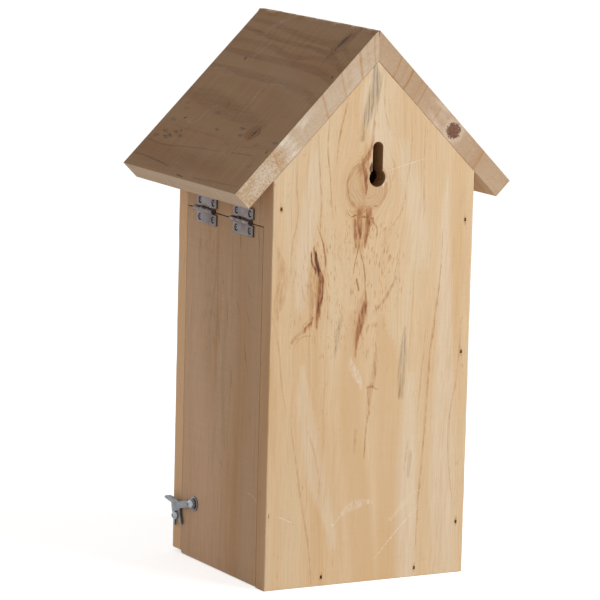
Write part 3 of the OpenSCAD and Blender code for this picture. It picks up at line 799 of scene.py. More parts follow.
def soft_metal(node_name, edge, material):
    """A copy of a metal node with its sharp edges broken, as stamping and tumbling leave them.

    Its sloping faces near the level of a leaf are countersinks, which the attribute recess marks,
    so that the material paints them dark with painted shade and grime.
    """
    bm = clean_copy(node_name)
    round_edges(bm, [e for e in bm.edges if bends(e, 40)], edge, 2, clamped=True)
    bm.normal_update()
    recess = bm.faces.layers.float.new("recess")
    leaf_face = max((v.co.x for v in bm.verts if v.co.x < COUNTERSINK_REACH), default=0.0)
    for face in bm.faces:
        face.smooth = True
        sunk = leaf_face - face.calc_center_median().x
        sloping = 0.3 < face.normal.x < 0.95
        face[recess] = 1.0 if sloping and 0.1 * MM < sunk < 0.95 * MM else 0.0
    crease(bm, 45)
    return finished_piece(bm, node_name + "_finished", material)


# Geometry Nodes: screws and brads, one copy at each point

def laid_cone(tree, sides, outer, inner, length, start):
    """Cone along X, from its inner end at the start to its outer end a length further out."""
    cone = node(tree, "GeometryNodeMeshCone",
                {"Vertices": sides, "Radius Top": outer, "Radius Bottom": inner, "Depth": length})
    place = node(tree, "ShaderNodeCombineXYZ", {"X": start})
    return node(tree, "GeometryNodeTransform",
                {"Geometry": cone.outputs["Mesh"], "Rotation": (0.0, math.pi / 2, 0.0),
                 "Translation": place})


def copy_to_points(tree, size, out, shape, rotation):
    """Ends a tree with a real copy of the shape at each given point, in the given material."""
    copies = node(tree, "GeometryNodeInstanceOnPoints",
                  {"Points": size["Geometry"], "Instance": shape, "Rotation": rotation})
    real = node(tree, "GeometryNodeRealizeInstances", {"Geometry": copies})
    painted = node(tree, "GeometryNodeSetMaterial",
                   {"Geometry": real, "Material": size["Material"]})
    tree.links.new(painted.outputs[0], out.inputs["Geometry"])


def screw_tree():
    """Countersunk or domed screw with a cross recess, repeated at the points of a mesh.

    The screw lies along X with its head outwards, and each copy is turned by chance about it.
    """
    tree, given, out = new_group(
        "Cross head screws", "GeometryNodeTree",
        [("Geometry", "NodeSocketGeometry"), ("Material", "NodeSocketMaterial"),
         ("Head radius", "NodeSocketFloat", 0.002), ("Dome", "NodeSocketFloat", 0.0004),
         ("Under head", "NodeSocketFloat", 0.001), ("Shank radius", "NodeSocketFloat", 0.001),
         ("Length", "NodeSocketFloat", 0.008), ("Cross", "NodeSocketFloat", 0.0026),
         ("Cross depth", "NodeSocketFloat", 0.0007), ("Seed", "NodeSocketInt", 4)],
        [("Geometry", "NodeSocketGeometry")])
    size = given.outputs
    ball = node(tree, "GeometryNodeMeshUVSphere", {"Segments": 32, "Rings": 20, "Radius": 1.0})
    dome_size = node(tree, "ShaderNodeCombineXYZ",
                     {"X": size["Dome"], "Y": size["Head radius"], "Z": size["Head radius"]})
    upright = node(tree, "GeometryNodeTransform",
                   {"Geometry": ball, "Rotation": (0.0, math.pi / 2, 0.0)})
    dome = node(tree, "GeometryNodeTransform", {"Geometry": upright, "Scale": dome_size})
    neck = node(tree, "ShaderNodeMath", {0: size["Under head"], 1: -1.0}, operation="MULTIPLY")
    cone = laid_cone(tree, 32, size["Head radius"], size["Shank radius"], size["Under head"],
                     neck)
    point = node(tree, "ShaderNodeMath", {0: neck, 1: size["Length"]}, operation="SUBTRACT")
    rod = laid_cone(tree, 16, size["Shank radius"], 0.2 * MM, size["Length"], point)
    blank = node(tree, "GeometryNodeMeshBoolean", {1: dome}, operation="UNION",
                 solver="EXACT")
    tree.links.new(cone.outputs[0], blank.inputs[1])

    # Recess: two crossed blades that narrow towards their tips, cut out of the head
    blade_w = node(tree, "ShaderNodeMath", {0: size["Cross"], 1: 0.24}, operation="MULTIPLY")
    depth_2 = node(tree, "ShaderNodeMath", {0: size["Cross depth"], 1: 2.0}, operation="MULTIPLY")
    blade_size = node(tree, "ShaderNodeCombineXYZ",
                      {"X": depth_2, "Y": size["Cross"], "Z": blade_w})
    block = node(tree, "GeometryNodeMeshCube", {"Size": blade_size})
    spot = node(tree, "GeometryNodeInputPosition")
    spot_parts = node(tree, "ShaderNodeSeparateXYZ", {"Vector": spot})
    taper = node(tree, "ShaderNodeMapRange",
                 {"Value": spot_parts.outputs["X"], "From Min": -0.7 * MM, "From Max": 0.7 * MM,
                  "To Min": 0.35, "To Max": 1.1})
    taper_size = node(tree, "ShaderNodeCombineXYZ", {"X": 1.0, "Y": taper, "Z": taper})
    narrowed = node(tree, "ShaderNodeVectorMath", {0: spot, 1: taper_size}, operation="MULTIPLY")
    blade = node(tree, "GeometryNodeSetPosition",
                 {"Geometry": block.outputs["Mesh"], "Position": narrowed})
    other = node(tree, "GeometryNodeTransform",
                 {"Geometry": blade, "Rotation": (math.pi / 2, 0.0, 0.0)})
    cross = node(tree, "GeometryNodeMeshBoolean", {1: blade}, operation="UNION",
                 solver="EXACT")
    tree.links.new(other.outputs[0], cross.inputs[1])
    cross_place = node(tree, "ShaderNodeCombineXYZ", {"X": size["Dome"]})
    cross_laid = node(tree, "GeometryNodeTransform",
                      {"Geometry": cross.outputs["Mesh"], "Translation": cross_place})
    # The recess is marked, so that the screws' material paints it dark as painted shade and grime
    marked = node(tree, "GeometryNodeStoreNamedAttribute",
                  {"Geometry": cross_laid, "Name": "recess", "Value": 1.0},
                  data_type="FLOAT", domain="FACE")
    head = node(tree, "GeometryNodeMeshBoolean",
                {"Mesh 1": blank.outputs["Mesh"], "Mesh 2": marked}, operation="DIFFERENCE",
                solver="EXACT")
    screw = node(tree, "GeometryNodeJoinGeometry", {"Geometry": head.outputs["Mesh"]})
    tree.links.new(rod.outputs[0], screw.inputs["Geometry"])

    turn = node(tree, "FunctionNodeRandomValue",
                {"Min": 0.0, "Max": 1.5, "Seed": size["Seed"]}, data_type="FLOAT")
    turned = node(tree, "ShaderNodeCombineXYZ", {"X": turn})
    copy_to_points(tree, size, out, screw, turned)
    return tree


def brad_tree():
    """Brads: short flat pins with rounded heads, one at each point, along its attribute facing.

    Each leans by chance, by a degree at most.
    """
    tree, given, out = new_group(
        "Brads", "GeometryNodeTree",
        [("Geometry", "NodeSocketGeometry"), ("Material", "NodeSocketMaterial"),
         ("Width", "NodeSocketFloat", 0.0012), ("Height", "NodeSocketFloat", 0.0018),
         ("Length", "NodeSocketFloat", 0.02), ("Crown", "NodeSocketFloat", 0.0002),
         ("Seed", "NodeSocketInt", 9)],
        [("Geometry", "NodeSocketGeometry")])
    size = given.outputs
    section = node(tree, "ShaderNodeCombineXYZ",
                   {"X": size["Length"], "Y": size["Width"], "Z": size["Height"]})
    pin = node(tree, "GeometryNodeMeshCube",
               {"Size": section, "Vertices X": 2, "Vertices Y": 5, "Vertices Z": 5})
    spot = node(tree, "GeometryNodeInputPosition")
    parts = node(tree, "ShaderNodeSeparateXYZ", {"Vector": spot})
    y_share = node(tree, "ShaderNodeMath",
                   {0: parts.outputs["Y"], 1: size["Width"]}, operation="DIVIDE")
    z_share = node(tree, "ShaderNodeMath",
                   {0: parts.outputs["Z"], 1: size["Height"]}, operation="DIVIDE")
    shares = node(tree, "ShaderNodeCombineXYZ", {"X": y_share, "Y": z_share})
    reach = node(tree, "ShaderNodeVectorMath", {0: shares, 1: shares}, operation="DOT_PRODUCT")
    front = node(tree, "FunctionNodeCompare", {"A": parts.outputs["X"], "B": 0.0},
                 data_type="FLOAT", operation="GREATER_THAN")
    drop = node(tree, "ShaderNodeMath",
                {0: reach, 1: size["Crown"]}, operation="MULTIPLY")
    lowered = node(tree, "ShaderNodeMath", {0: drop, 1: -2.0}, operation="MULTIPLY")
    fall = node(tree, "ShaderNodeCombineXYZ", {"X": lowered})
    crowned = node(tree, "GeometryNodeSetPosition",
                   {"Geometry": pin.outputs["Mesh"], "Selection": front, "Offset": fall})
    half = node(tree, "ShaderNodeMath", {0: size["Length"], 1: -0.5}, operation="MULTIPLY")
    seat = node(tree, "ShaderNodeCombineXYZ", {"X": half})
    seated = node(tree, "GeometryNodeTransform", {"Geometry": crowned, "Translation": seat})
    facing = node(tree, "GeometryNodeInputNamedAttribute", {"Name": "facing"},
                  data_type="FLOAT_VECTOR")
    aimed = node(tree, "FunctionNodeAlignRotationToVector",
                 {"Vector": facing.outputs["Attribute"]}, axis="X", pivot_axis="Z")
    tip = node(tree, "FunctionNodeRandomValue",
               {"Min": (0.0, -0.02, -0.02), "Max": (0.0, 0.02, 0.02), "Seed": size["Seed"]},
               data_type="FLOAT_VECTOR")
    leaning = node(tree, "FunctionNodeRotateRotation",
                   {"Rotation": aimed, "Rotate By": tip}, rotation_space="LOCAL")
    copy_to_points(tree, size, out, seated, leaning)
    return tree


def repeat_at(name, tree, places, sizes, facing=None):
    """Runs a node tree on a mesh of points and returns the result as a plain object."""
    points = bpy.data.meshes.new(name + "_places")
    points.from_pydata([tuple(p) for p in places], [], [])
    if facing:
        toward = points.attributes.new("facing", "FLOAT_VECTOR", "POINT")
        for i, direction in enumerate(facing):
            toward.data[i].vector = direction
    seeds = bpy.data.objects.new(name + "_seeds", points)
    bpy.context.scene.collection.objects.link(seeds)
    modifier = seeds.modifiers.new(tree.name, "NODES")
    modifier.node_group = tree
    named = {item.name: item.identifier for item in tree.interface.items_tree
             if item.item_type == "SOCKET" and item.in_out == "INPUT"}
    for title, value in sizes.items():
        modifier[named[title]] = value
    ready = seeds.evaluated_get(bpy.context.evaluated_depsgraph_get())
    mesh = bpy.data.meshes.new_from_object(ready)
    seeds.modifiers.remove(modifier)
    bpy.data.objects.remove(seeds)
    for polygon in mesh.polygons:
        polygon.use_smooth = True
    mesh.set_sharp_from_angle(angle=math.radians(38))
    return add_piece(name, mesh)


def island_fronts(node_name, outward):
    """Middle of each loose solid of a node, at the solid's far end along outward."""
    bm = joined_copy(node_name)
    left = set(bm.verts)
    fronts = []
    while left:
        island = [left.pop()]
        for vert in island:
            for edge in vert.link_edges:
                other = edge.other_vert(vert)
                if other in left:
                    left.remove(other)
                    island.append(other)
        middle = Vector([(min(places) + max(places)) / 2
                         for places in zip(*(v.co for v in island))])
        reach = max(outward.dot(v.co) for v in island)
        fronts.append(middle + outward * (reach - outward.dot(middle)))
    bm.free()
    return sorted(fronts, key=tuple)


# Streaks and knots of each board, at the places where they are seen

BACK_STREAKS = [
    # paler sapwood, and warmer wood down the middle
    Streak("faded", 0.5, [(222.0, -46.0, 0.4), (180.0, -45.0, 4.0), (140.0, -47.0, 5.0),
                          (80.0, -48.0, 8.0), (0.0, -50.0, 8.0)]),
    Streak("faded", 0.5, [(110.0, -26.0, 2.0), (80.0, -24.0, 6.0), (0.0, -26.0, 6.0)]),
    Streak("faded", 0.4, [(236.0, 38.0, 2.0), (210.0, 40.0, 5.0), (160.0, 45.0, 3.0)]),
    Streak("faded", 0.4, [(118.0, 42.0, 2.0), (100.0, 40.0, 5.0), (80.0, 36.0, 6.5),
                          (60.0, 31.5, 6.0), (43.0, 26.0, 4.5), (27.6, 21.0, 2.5)]),
    Streak("faded", 0.45, [(280.0, 2.0, 3.0), (262.0, 2.0, 8.0), (246.0, -4.0, 7.0)]),
    Streak("faded", 0.35, [(236.0, -18.0, 3.0), (215.0, -24.0, 7.0), (190.0, -30.0, 6.0)]),
    Streak("warm", 0.65, [(146.0, 13.0, 2.0), (120.0, 13.0, 6.0), (80.0, 10.0, 7.0),
                          (40.0, 4.0, 8.0), (0.0, 0.0, 8.0)]),
    Streak("warm", 0.6, [(140.0, -6.0, 3.0), (120.0, -12.0, 8.0), (60.0, -13.0, 8.0),
                         (0.0, -14.0, 6.0)]),
    # grain lines that resin has darkened, from the left edge of the panel to the right
    Streak("resin", 0.35, [(151.9, 61.7, 0.2), (142.3, 58.6, 0.5), (129.6, 56.5, 0.5),
                           (110.7, 54.2, 0.5), (97.9, 51.2, 0.2)]),
    Streak("resin", 0.4, [(232.4, 47.9, 0.2), (222.9, 48.5, 0.4), (205.4, 47.1, 0.4),
                          (189.6, 50.3, 0.4), (173.7, 50.7, 0.2)]),
    Streak("resin", 0.4, [(90.0, 48.4, 0.2), (67.6, 44.2, 0.6), (48.3, 41.0, 0.6),
                          (28.8, 36.9, 0.5), (2.8, 33.5, 0.3)]),
    Streak("resin", 0.3, [(86.1, 37.7, 0.3), (63.4, 30.8, 0.5), (50.5, 29.5, 0.2)]),
    Streak("resin", 0.5, [(247.7, 35.8, 0.2), (225.5, 34.2, 0.4), (211.1, 32.9, 0.4),
                          (198.4, 33.4, 0.4), (183.8, 29.9, 0.5), (174.0, 30.0, 0.2)]),
    Streak("resin", 0.5, [(256.5, 29.1, 0.2), (239.6, 29.8, 0.5), (225.2, 27.9, 0.4),
                          (210.8, 26.6, 0.3), (203.3, 25.0, 0.1)]),
    Streak("resin", 0.6, [(271.6, 16.7, 0.2), (259.8, 20.0, 0.5), (247.3, 22.8, 0.5),
                          (233.6, 24.1, 0.2)]),
    Streak("resin", 0.55, [(282.0, -3.5, 0.5), (259.2, 0.9, 0.8), (244.9, 2.2, 1.0),
                           (237.7, 3.9, 1.6), (234.2, 5.5, 1.6)]),
    Streak("resin", 0.35, [(279.7, -4.8, 0.3), (265.4, -4.4, 0.5), (250.0, -8.0, 0.2)]),
    Streak("resin", 0.4, [(253.1, -21.9, 0.3), (235.1, -21.9, 0.4), (220.5, -19.7, 0.3),
                          (207.3, -17.8, 0.4), (199.3, -13.0, 0.5), (191.9, -6.4, 0.2)]),
    Streak("resin", 0.35, [(256.5, -31.3, 0.2), (234.0, -30.2, 0.5), (210.0, -31.1, 0.8),
                           (200.0, -30.9, 0.2)]),
    Streak("resin", 0.5, [(193.4, -43.4, 0.2), (169.6, -42.7, 0.4), (142.7, -39.7, 0.7),
                          (123.6, -37.6, 0.8), (90.1, -36.0, 0.6), (64.0, -34.3, 0.5),
                          (45.4, -33.0, 0.6), (17.9, -32.1, 0.2)]),
    Streak("resin", 0.35, [(138.2, -34.4, 0.2), (114.4, -32.5, 0.5), (90.4, -30.6, 0.2)]),
    Streak("resin", 0.4, [(142.6, -56.9, 0.3), (114.7, -55.4, 0.6), (82.8, -51.0, 0.6),
                          (43.7, -54.3, 0.3)]),
    Streak("resin", 0.3, [(78.3, -25.5, 0.2), (62.3, -23.3, 0.4)]),
    # round the knot: its cracked heart, dark arcs on one side, and dashes below it
    Streak("pitch", 0.6, [(242.0, 2.6, 0.5), (237.5, 4.4, 1.4), (233.6, 6.6, 2.0),
                          (230.2, 9.2, 1.3)]),
    Streak("pitch", 0.72, [(232.0, 7.6, 1.0), (228.4, 6.9, 1.5), (225.3, 6.0, 1.3),
                           (222.9, 6.0, 1.2), (219.3, 5.4, 1.0), (216.5, 5.6, 0.6)]),
    Streak("pitch", 0.42, [(233.0, 9.5, 0.3), (228.1, 15.5, 0.35), (224.6, 16.8, 0.4),
                           (220.4, 17.1, 0.45), (215.6, 16.3, 0.5), (212.0, 15.0, 0.6),
                           (209.7, 13.2, 0.5), (208.4, 10.5, 0.3)]),
    Streak("resin", 0.4, [(-0.5, 214.9, 0.3), (4.2, 213.3, 0.3), (8.3, 214.1, 0.3),
                          (11.1, 217.2, 0.2)], True),
    Streak("resin", 0.25, [(235.4, -9.4, 0.3), (228.7, -11.7, 0.5), (220.5, -9.9, 0.4),
                           (213.5, -6.0, 0.4), (208.9, -1.4, 0.3)]),
    Streak("pitch", 0.5, [(8.4, 206.3, 0.3), (6.2, 208.5, 0.3)], True),
    Streak("pitch", 0.55, [(6.8, 205.2, 0.3), (4.0, 208.4, 0.35)], True),
    Streak("pitch", 0.6, [(2.9, 205.2, 0.3), (0.3, 208.6, 0.5)], True),
    Streak("pitch", 0.4, [(10.4, 206.5, 0.2), (8.4, 208.6, 0.3)], True),
    Streak("pitch", 0.7, [(13.7, 203.3, 0.3), (12.0, 204.1, 0.5), (9.6, 203.7, 0.5),
                          (7.2, 202.9, 0.6), (4.5, 202.7, 0.7), (1.1, 202.0, 0.4)], True),
    Streak("pitch", 0.5, [(200.6, 0.9, 0.6), (198.5, -0.4, 0.8), (196.3, -1.9, 0.5),
                          (192.1, -1.9, 0.3)]),
    Streak("resin", 0.55, [(203.0, 8.0, 2.8), (196.0, 7.6, 3.2), (190.0, 8.4, 2.2)]),
    Streak("pitch", 0.7, [(200.4, 12.0, 0.6), (194.0, 11.5, 1.1), (188.3, 11.0, 0.8)]),
    Streak("pitch", 0.72, [(203.0, 9.4, 1.6), (198.0, 9.0, 1.7), (193.0, 8.6, 0.9)]),
    Streak("pitch", 0.75, [(203.0, 3.6, 1.8), (197.2, 4.0, 1.6), (192.5, 4.7, 1.2),
                           (188.0, 5.4, 0.6)]),
    Streak("pitch", 0.5, [(188.5, 9.4, 0.3), (184.0, 9.9, 0.4), (178.8, 11.1, 0.4),
                          (172.6, 12.2, 0.2)]),
    Streak("pitch", 0.5, [(189.5, 9.4, 0.4), (184.9, 8.4, 0.5), (175.4, 5.7, 0.4),
                          (164.3, 4.4, 0.4), (157.9, 3.9, 0.6)]),
    Streak("pitch", 0.68, [(158.5, 3.9, 0.6), (154.5, 4.3, 1.8), (148.6, 5.7, 2.5),
                           (141.5, 7.5, 2.1), (134.5, 8.7, 1.1), (127.4, 9.2, 0.4)]),
    Streak("pitch", 0.75, [(157.0, 3.4, 0.4), (150.0, 4.4, 0.7), (143.0, 6.2, 0.6),
                           (136.0, 8.0, 0.3)]),
    Streak("pitch", 0.75, [(167.8, 9.9, 0.5), (164.3, 8.7, 0.6)]),
    # the dark streak with a loop at its top, and the marks that trail away from its foot
    Streak("resin", 0.6, [(187.0, 36.8, 0.6), (180.0, 35.5, 2.2), (170.0, 33.4, 2.6),
                          (158.0, 33.4, 1.8), (146.0, 34.8, 0.7)]),
    Streak("pitch", 0.85, [(186.7, 37.0, 0.3), (182.4, 35.5, 0.7), (177.7, 34.5, 0.9),
                           (172.1, 32.4, 1.6), (165.8, 31.9, 2.0), (156.4, 32.8, 1.7),
                           (149.0, 33.6, 1.1), (144.7, 34.0, 0.5)]),
    Streak("pitch", 0.8, [(184.0, 38.6, 0.4), (178.6, 37.4, 0.8), (175.3, 35.2, 0.8)]),
    Streak("pitch", 0.6, [(198.5, 35.0, 0.2), (187.6, 30.9, 0.4), (178.2, 29.4, 0.5)]),
    Streak("pitch", 0.65, [(147.6, 36.8, 0.8), (145.0, 39.4, 1.5), (143.6, 41.4, 0.6)]),
    Streak("resin", 0.5, [(146.0, 37.5, 0.8), (141.5, 42.6, 2.2), (139.6, 46.4, 1.8),
                          (135.0, 50.2, 0.6)]),
    Streak("resin", 0.6, [(34.5, 149.5, 0.3), (39.0, 148.0, 0.5), (43.4, 143.2, 0.5),
                          (45.5, 138.0, 0.3)], True),
    Streak("resin", 0.5, [(38.0, 139.4, 0.3), (43.0, 138.8, 0.5), (47.5, 134.2, 0.4),
                          (49.0, 128.0, 0.2)], True),
    # resin near the middle of the panel, below the knot
    Streak("resin", 0.55, [(168.3, -14.7, 0.4), (163.4, -11.8, 1.0), (156.5, -7.5, 1.2),
                           (151.3, -2.3, 0.6)]),
    Streak("resin", 0.45, [(129.0, -3.5, 0.5), (116.0, -2.5, 1.6), (106.0, -0.5, 1.4),
                           (92.0, 1.0, 0.6)]),
    Streak("resin", 0.7, [(122.4, -2.5, 0.4), (118.5, -2.9, 0.9), (115.4, -3.2, 0.5)]),
    Streak("pitch", 0.45, [(-3.9, 107.4, 0.4), (-1.5, 109.2, 0.8), (0.6, 108.6, 0.5)], True),
    Streak("resin", 0.7, [(108.0, 1.0, 0.6), (104.9, 0.4, 1.0), (99.0, 0.1, 0.5)]),
    Streak("resin", 0.7, [(104.5, -0.1, 0.5), (95.7, 0.1, 0.6), (85.0, 1.5, 0.5),
                          (70.0, 2.4, 0.2)]),
    Streak("resin", 0.4, [(83.1, 8.1, 1.0), (74.4, 8.4, 0.6)]),
    # blue stain
    Streak("stain", 1.0, [(285.0, 1.7, 1.2), (275.1, 1.4, 3.2), (262.5, 4.6, 3.0),
                           (248.3, 8.7, 1.4)]),
    Streak("stain", 0.75, [(138.4, -21.1, 0.8), (124.7, -20.7, 2.3), (106.3, -19.5, 1.8)]),
    Streak("stain", 0.5, [(149.3, 18.6, 0.6), (140.0, 20.6, 1.4), (129.0, 22.1, 0.8)]),
    Streak("stain", 0.4, [(68.0, -26.8, 1.2), (58.9, -26.2, 0.8)]),
    # scratches and rubbed places
    Streak("scuff_and_lit_spot", 0.28, [(-32.0, 48.7, 0.6), (-23.1, 41.4, 2.2), (-16.1, 33.9, 1.2)], True),
    Streak("scuff_and_lit_spot", 0.5, [(-31.4, 38.3, 0.3), (-18.1, 25.6, 0.5), (-5.9, 12.2, 0.2)], True),
    Streak("scuff_and_lit_spot", 0.35, [(-0.3, 44.9, 1.4), (8.0, 43.5, 2.6), (13.1, 41.2, 2.0),
                           (20.1, 33.7, 0.5)], True),
    Streak("scuff_and_lit_spot", 0.45, [(124.0, 12.2, 0.8), (117.0, 9.2, 2.6), (111.0, 5.6, 1.0)]),
    Streak("scuff_and_lit_spot", 0.5, [(-30.1, 233.1, 0.2), (-18.0, 230.3, 0.3), (-7.7, 227.5, 0.2)], True),
    Streak("scuff_and_lit_spot", 0.5, [(46.5, 37.1, 0.3), (54.1, 40.6, 0.3)], True),
    # the darkest cracks, and a pale spot at the keyhole, painted light on the wall of the hole
    Streak("core", 0.95, [(231.0, 2.5, 0.5), (229.2, 2.9, 1.1), (227.6, 2.7, 0.6)]),
    Streak("core", 0.9, [(42.2, 60.6, 0.2), (41.7, 60.6, 0.35), (41.2, 60.6, 0.2)]),
    Streak("scuff_and_lit_spot", 0.9, [(224.0, -5.4, 0.6), (222.5, -5.8, 1.3), (221.0, -5.0, 0.6)]),
    Streak("core", 0.9, [(185.0, 35.6, 0.3), (181.6, 35.4, 1.0), (177.0, 34.4, 0.9),
                         (173.5, 33.6, 0.5)]),
    # orange wood round the marks
    Streak("resin", 0.42, [(238.0, 6.0, 1.5), (230.0, 8.5, 3.2), (222.0, 7.5, 2.6),
                           (214.0, 7.0, 1.0)]),
    Streak("resin", 0.5, [(203.5, 12.2, 1.2), (198.0, 11.4, 2.2), (190.0, 10.4, 1.4)]),
    Streak("resin", 0.5, [(203.5, 2.6, 1.6), (197.0, 3.8, 2.0), (190.0, 5.0, 1.2)]),
    Streak("resin", 0.4, [(186.0, 58.5, 1.0), (173.8, 55.5, 3.2), (163.5, 57.0, 3.6),
                          (152.0, 58.6, 1.0)]),
    Streak("resin", 0.45, [(176.0, 37.6, 1.5), (168.0, 36.0, 3.4), (160.0, 36.4, 2.4),
                           (150.0, 38.0, 1.0)]),
    Streak("resin", 0.35, [(160.0, 5.0, 1.2), (150.0, 7.6, 3.0), (140.0, 9.2, 2.4),
                           (128.0, 10.0, 0.8)]),
]
BACK_KNOTS = [Knot((5.0, 219.0), 12.0, 1.12, 7.0, 0.4)]
# Rust and resin have darkened the wood round the brads, at these places across and up
BACK_STREAKS += [Streak("resin", 0.7, [(z - 1.8, x, 0.3), (z - 0.6, x, 1.0), (z + 0.6, x, 0.7)])
                 for x, z in ((57.5, 209.5), (-57.5, 198.6), (-57.5, 125.0), (-57.5, 29.0),
                              (27.3, 5.0), (-31.5, 5.0))]

DOOR_STREAKS = [
    # paler towards its foot and front, a painted pool of light, and a little darker towards the
    # back
    Streak("pale_and_lit", 0.65, [(0.0, -33.0, 48.0), (50.0, -33.0, 44.0), (120.0, -34.0, 24.0)]),
    Streak("bark", 0.14, [(0.0, 42.0, 16.0), (120.0, 42.0, 16.0), (215.0, 34.0, 34.0)]),
    # blue stain, scratches and rubbed places
    Streak("stain", 0.28, [(191.0, 5.7, 0.6), (171.9, 4.3, 1.6), (150.1, 0.5, 1.2),
                           (132.7, -3.5, 0.4)]),
    Streak("stain", 0.25, [(186.0, -16.0, 0.5), (175.3, -16.9, 1.3), (166.0, -17.3, 0.4)]),
    Streak("stain", 0.22, [(140.0, 16.0, 0.6), (110.0, 14.0, 2.0), (70.0, 18.0, 0.6)]),
    Streak("scuff_and_lit_spot", 0.25, [(151.8, 11.2, 0.4), (123.7, 10.1, 1.4), (90.0, 9.0, 0.4)]),
    Streak("scuff_and_lit_spot", 0.4, [(45.5, 50.4, 0.3), (54.9, 48.8, 0.8), (58.5, 46.4, 0.3)], True),
    Streak("scuff_and_lit_spot", 0.35, [(15.6, 32.0, 0.2), (19.4, 27.1, 0.4)], True),
    Streak("scuff_and_lit_spot", 0.4, [(127.9, -21.9, 0.3), (121.0, -20.4, 0.5), (114.5, -17.8, 0.3)]),
    Streak("scuff_and_lit_spot", 0.45, [(-30.6, 190.1, 0.3), (-26.4, 194.0, 0.5), (-22.7, 196.5, 0.3)], True),
    Streak("scuff_and_lit_spot", 0.35, [(50.1, 1.8, 0.3), (42.5, 3.6, 0.3)]),
]
# Short dark dashes along the door's grain: top, place across, lean and length of each
DOOR_DASHES = [(150.2, 17.2, 1.3, 12.5), (149.7, 40.7, 2.5, 4.8), (132.5, 38.2, 4.1, 15.1),
               (195.2, 51.7, 1.4, 7.0), (191.2, 30.9, 1.0, 7.1), (153.2, 29.4, 2.5, 4.9),
               (164.5, 41.1, 3.6, 5.8), (138.0, 7.6, 1.6, 10.3), (128.5, 58.3, 1.3, 5.0),
               (181.5, -15.1, -1.0, 4.4), (114.3, 24.5, 0.5, 10.5), (74.8, 57.1, 1.4, 7.6),
               (62.5, 14.0, 1.2, 3.7), (94.3, 45.9, 1.2, 3.7), (6.5, 14.5, 0.3, 6.0)]
DOOR_STREAKS += [Streak("core", 0.3, [(z, y, 0.25), (z - drop / 2, y + lean / 2, 0.5),
                                      (z - drop, y + lean, 0.25)])
                 for z, y, lean, drop in DOOR_DASHES]

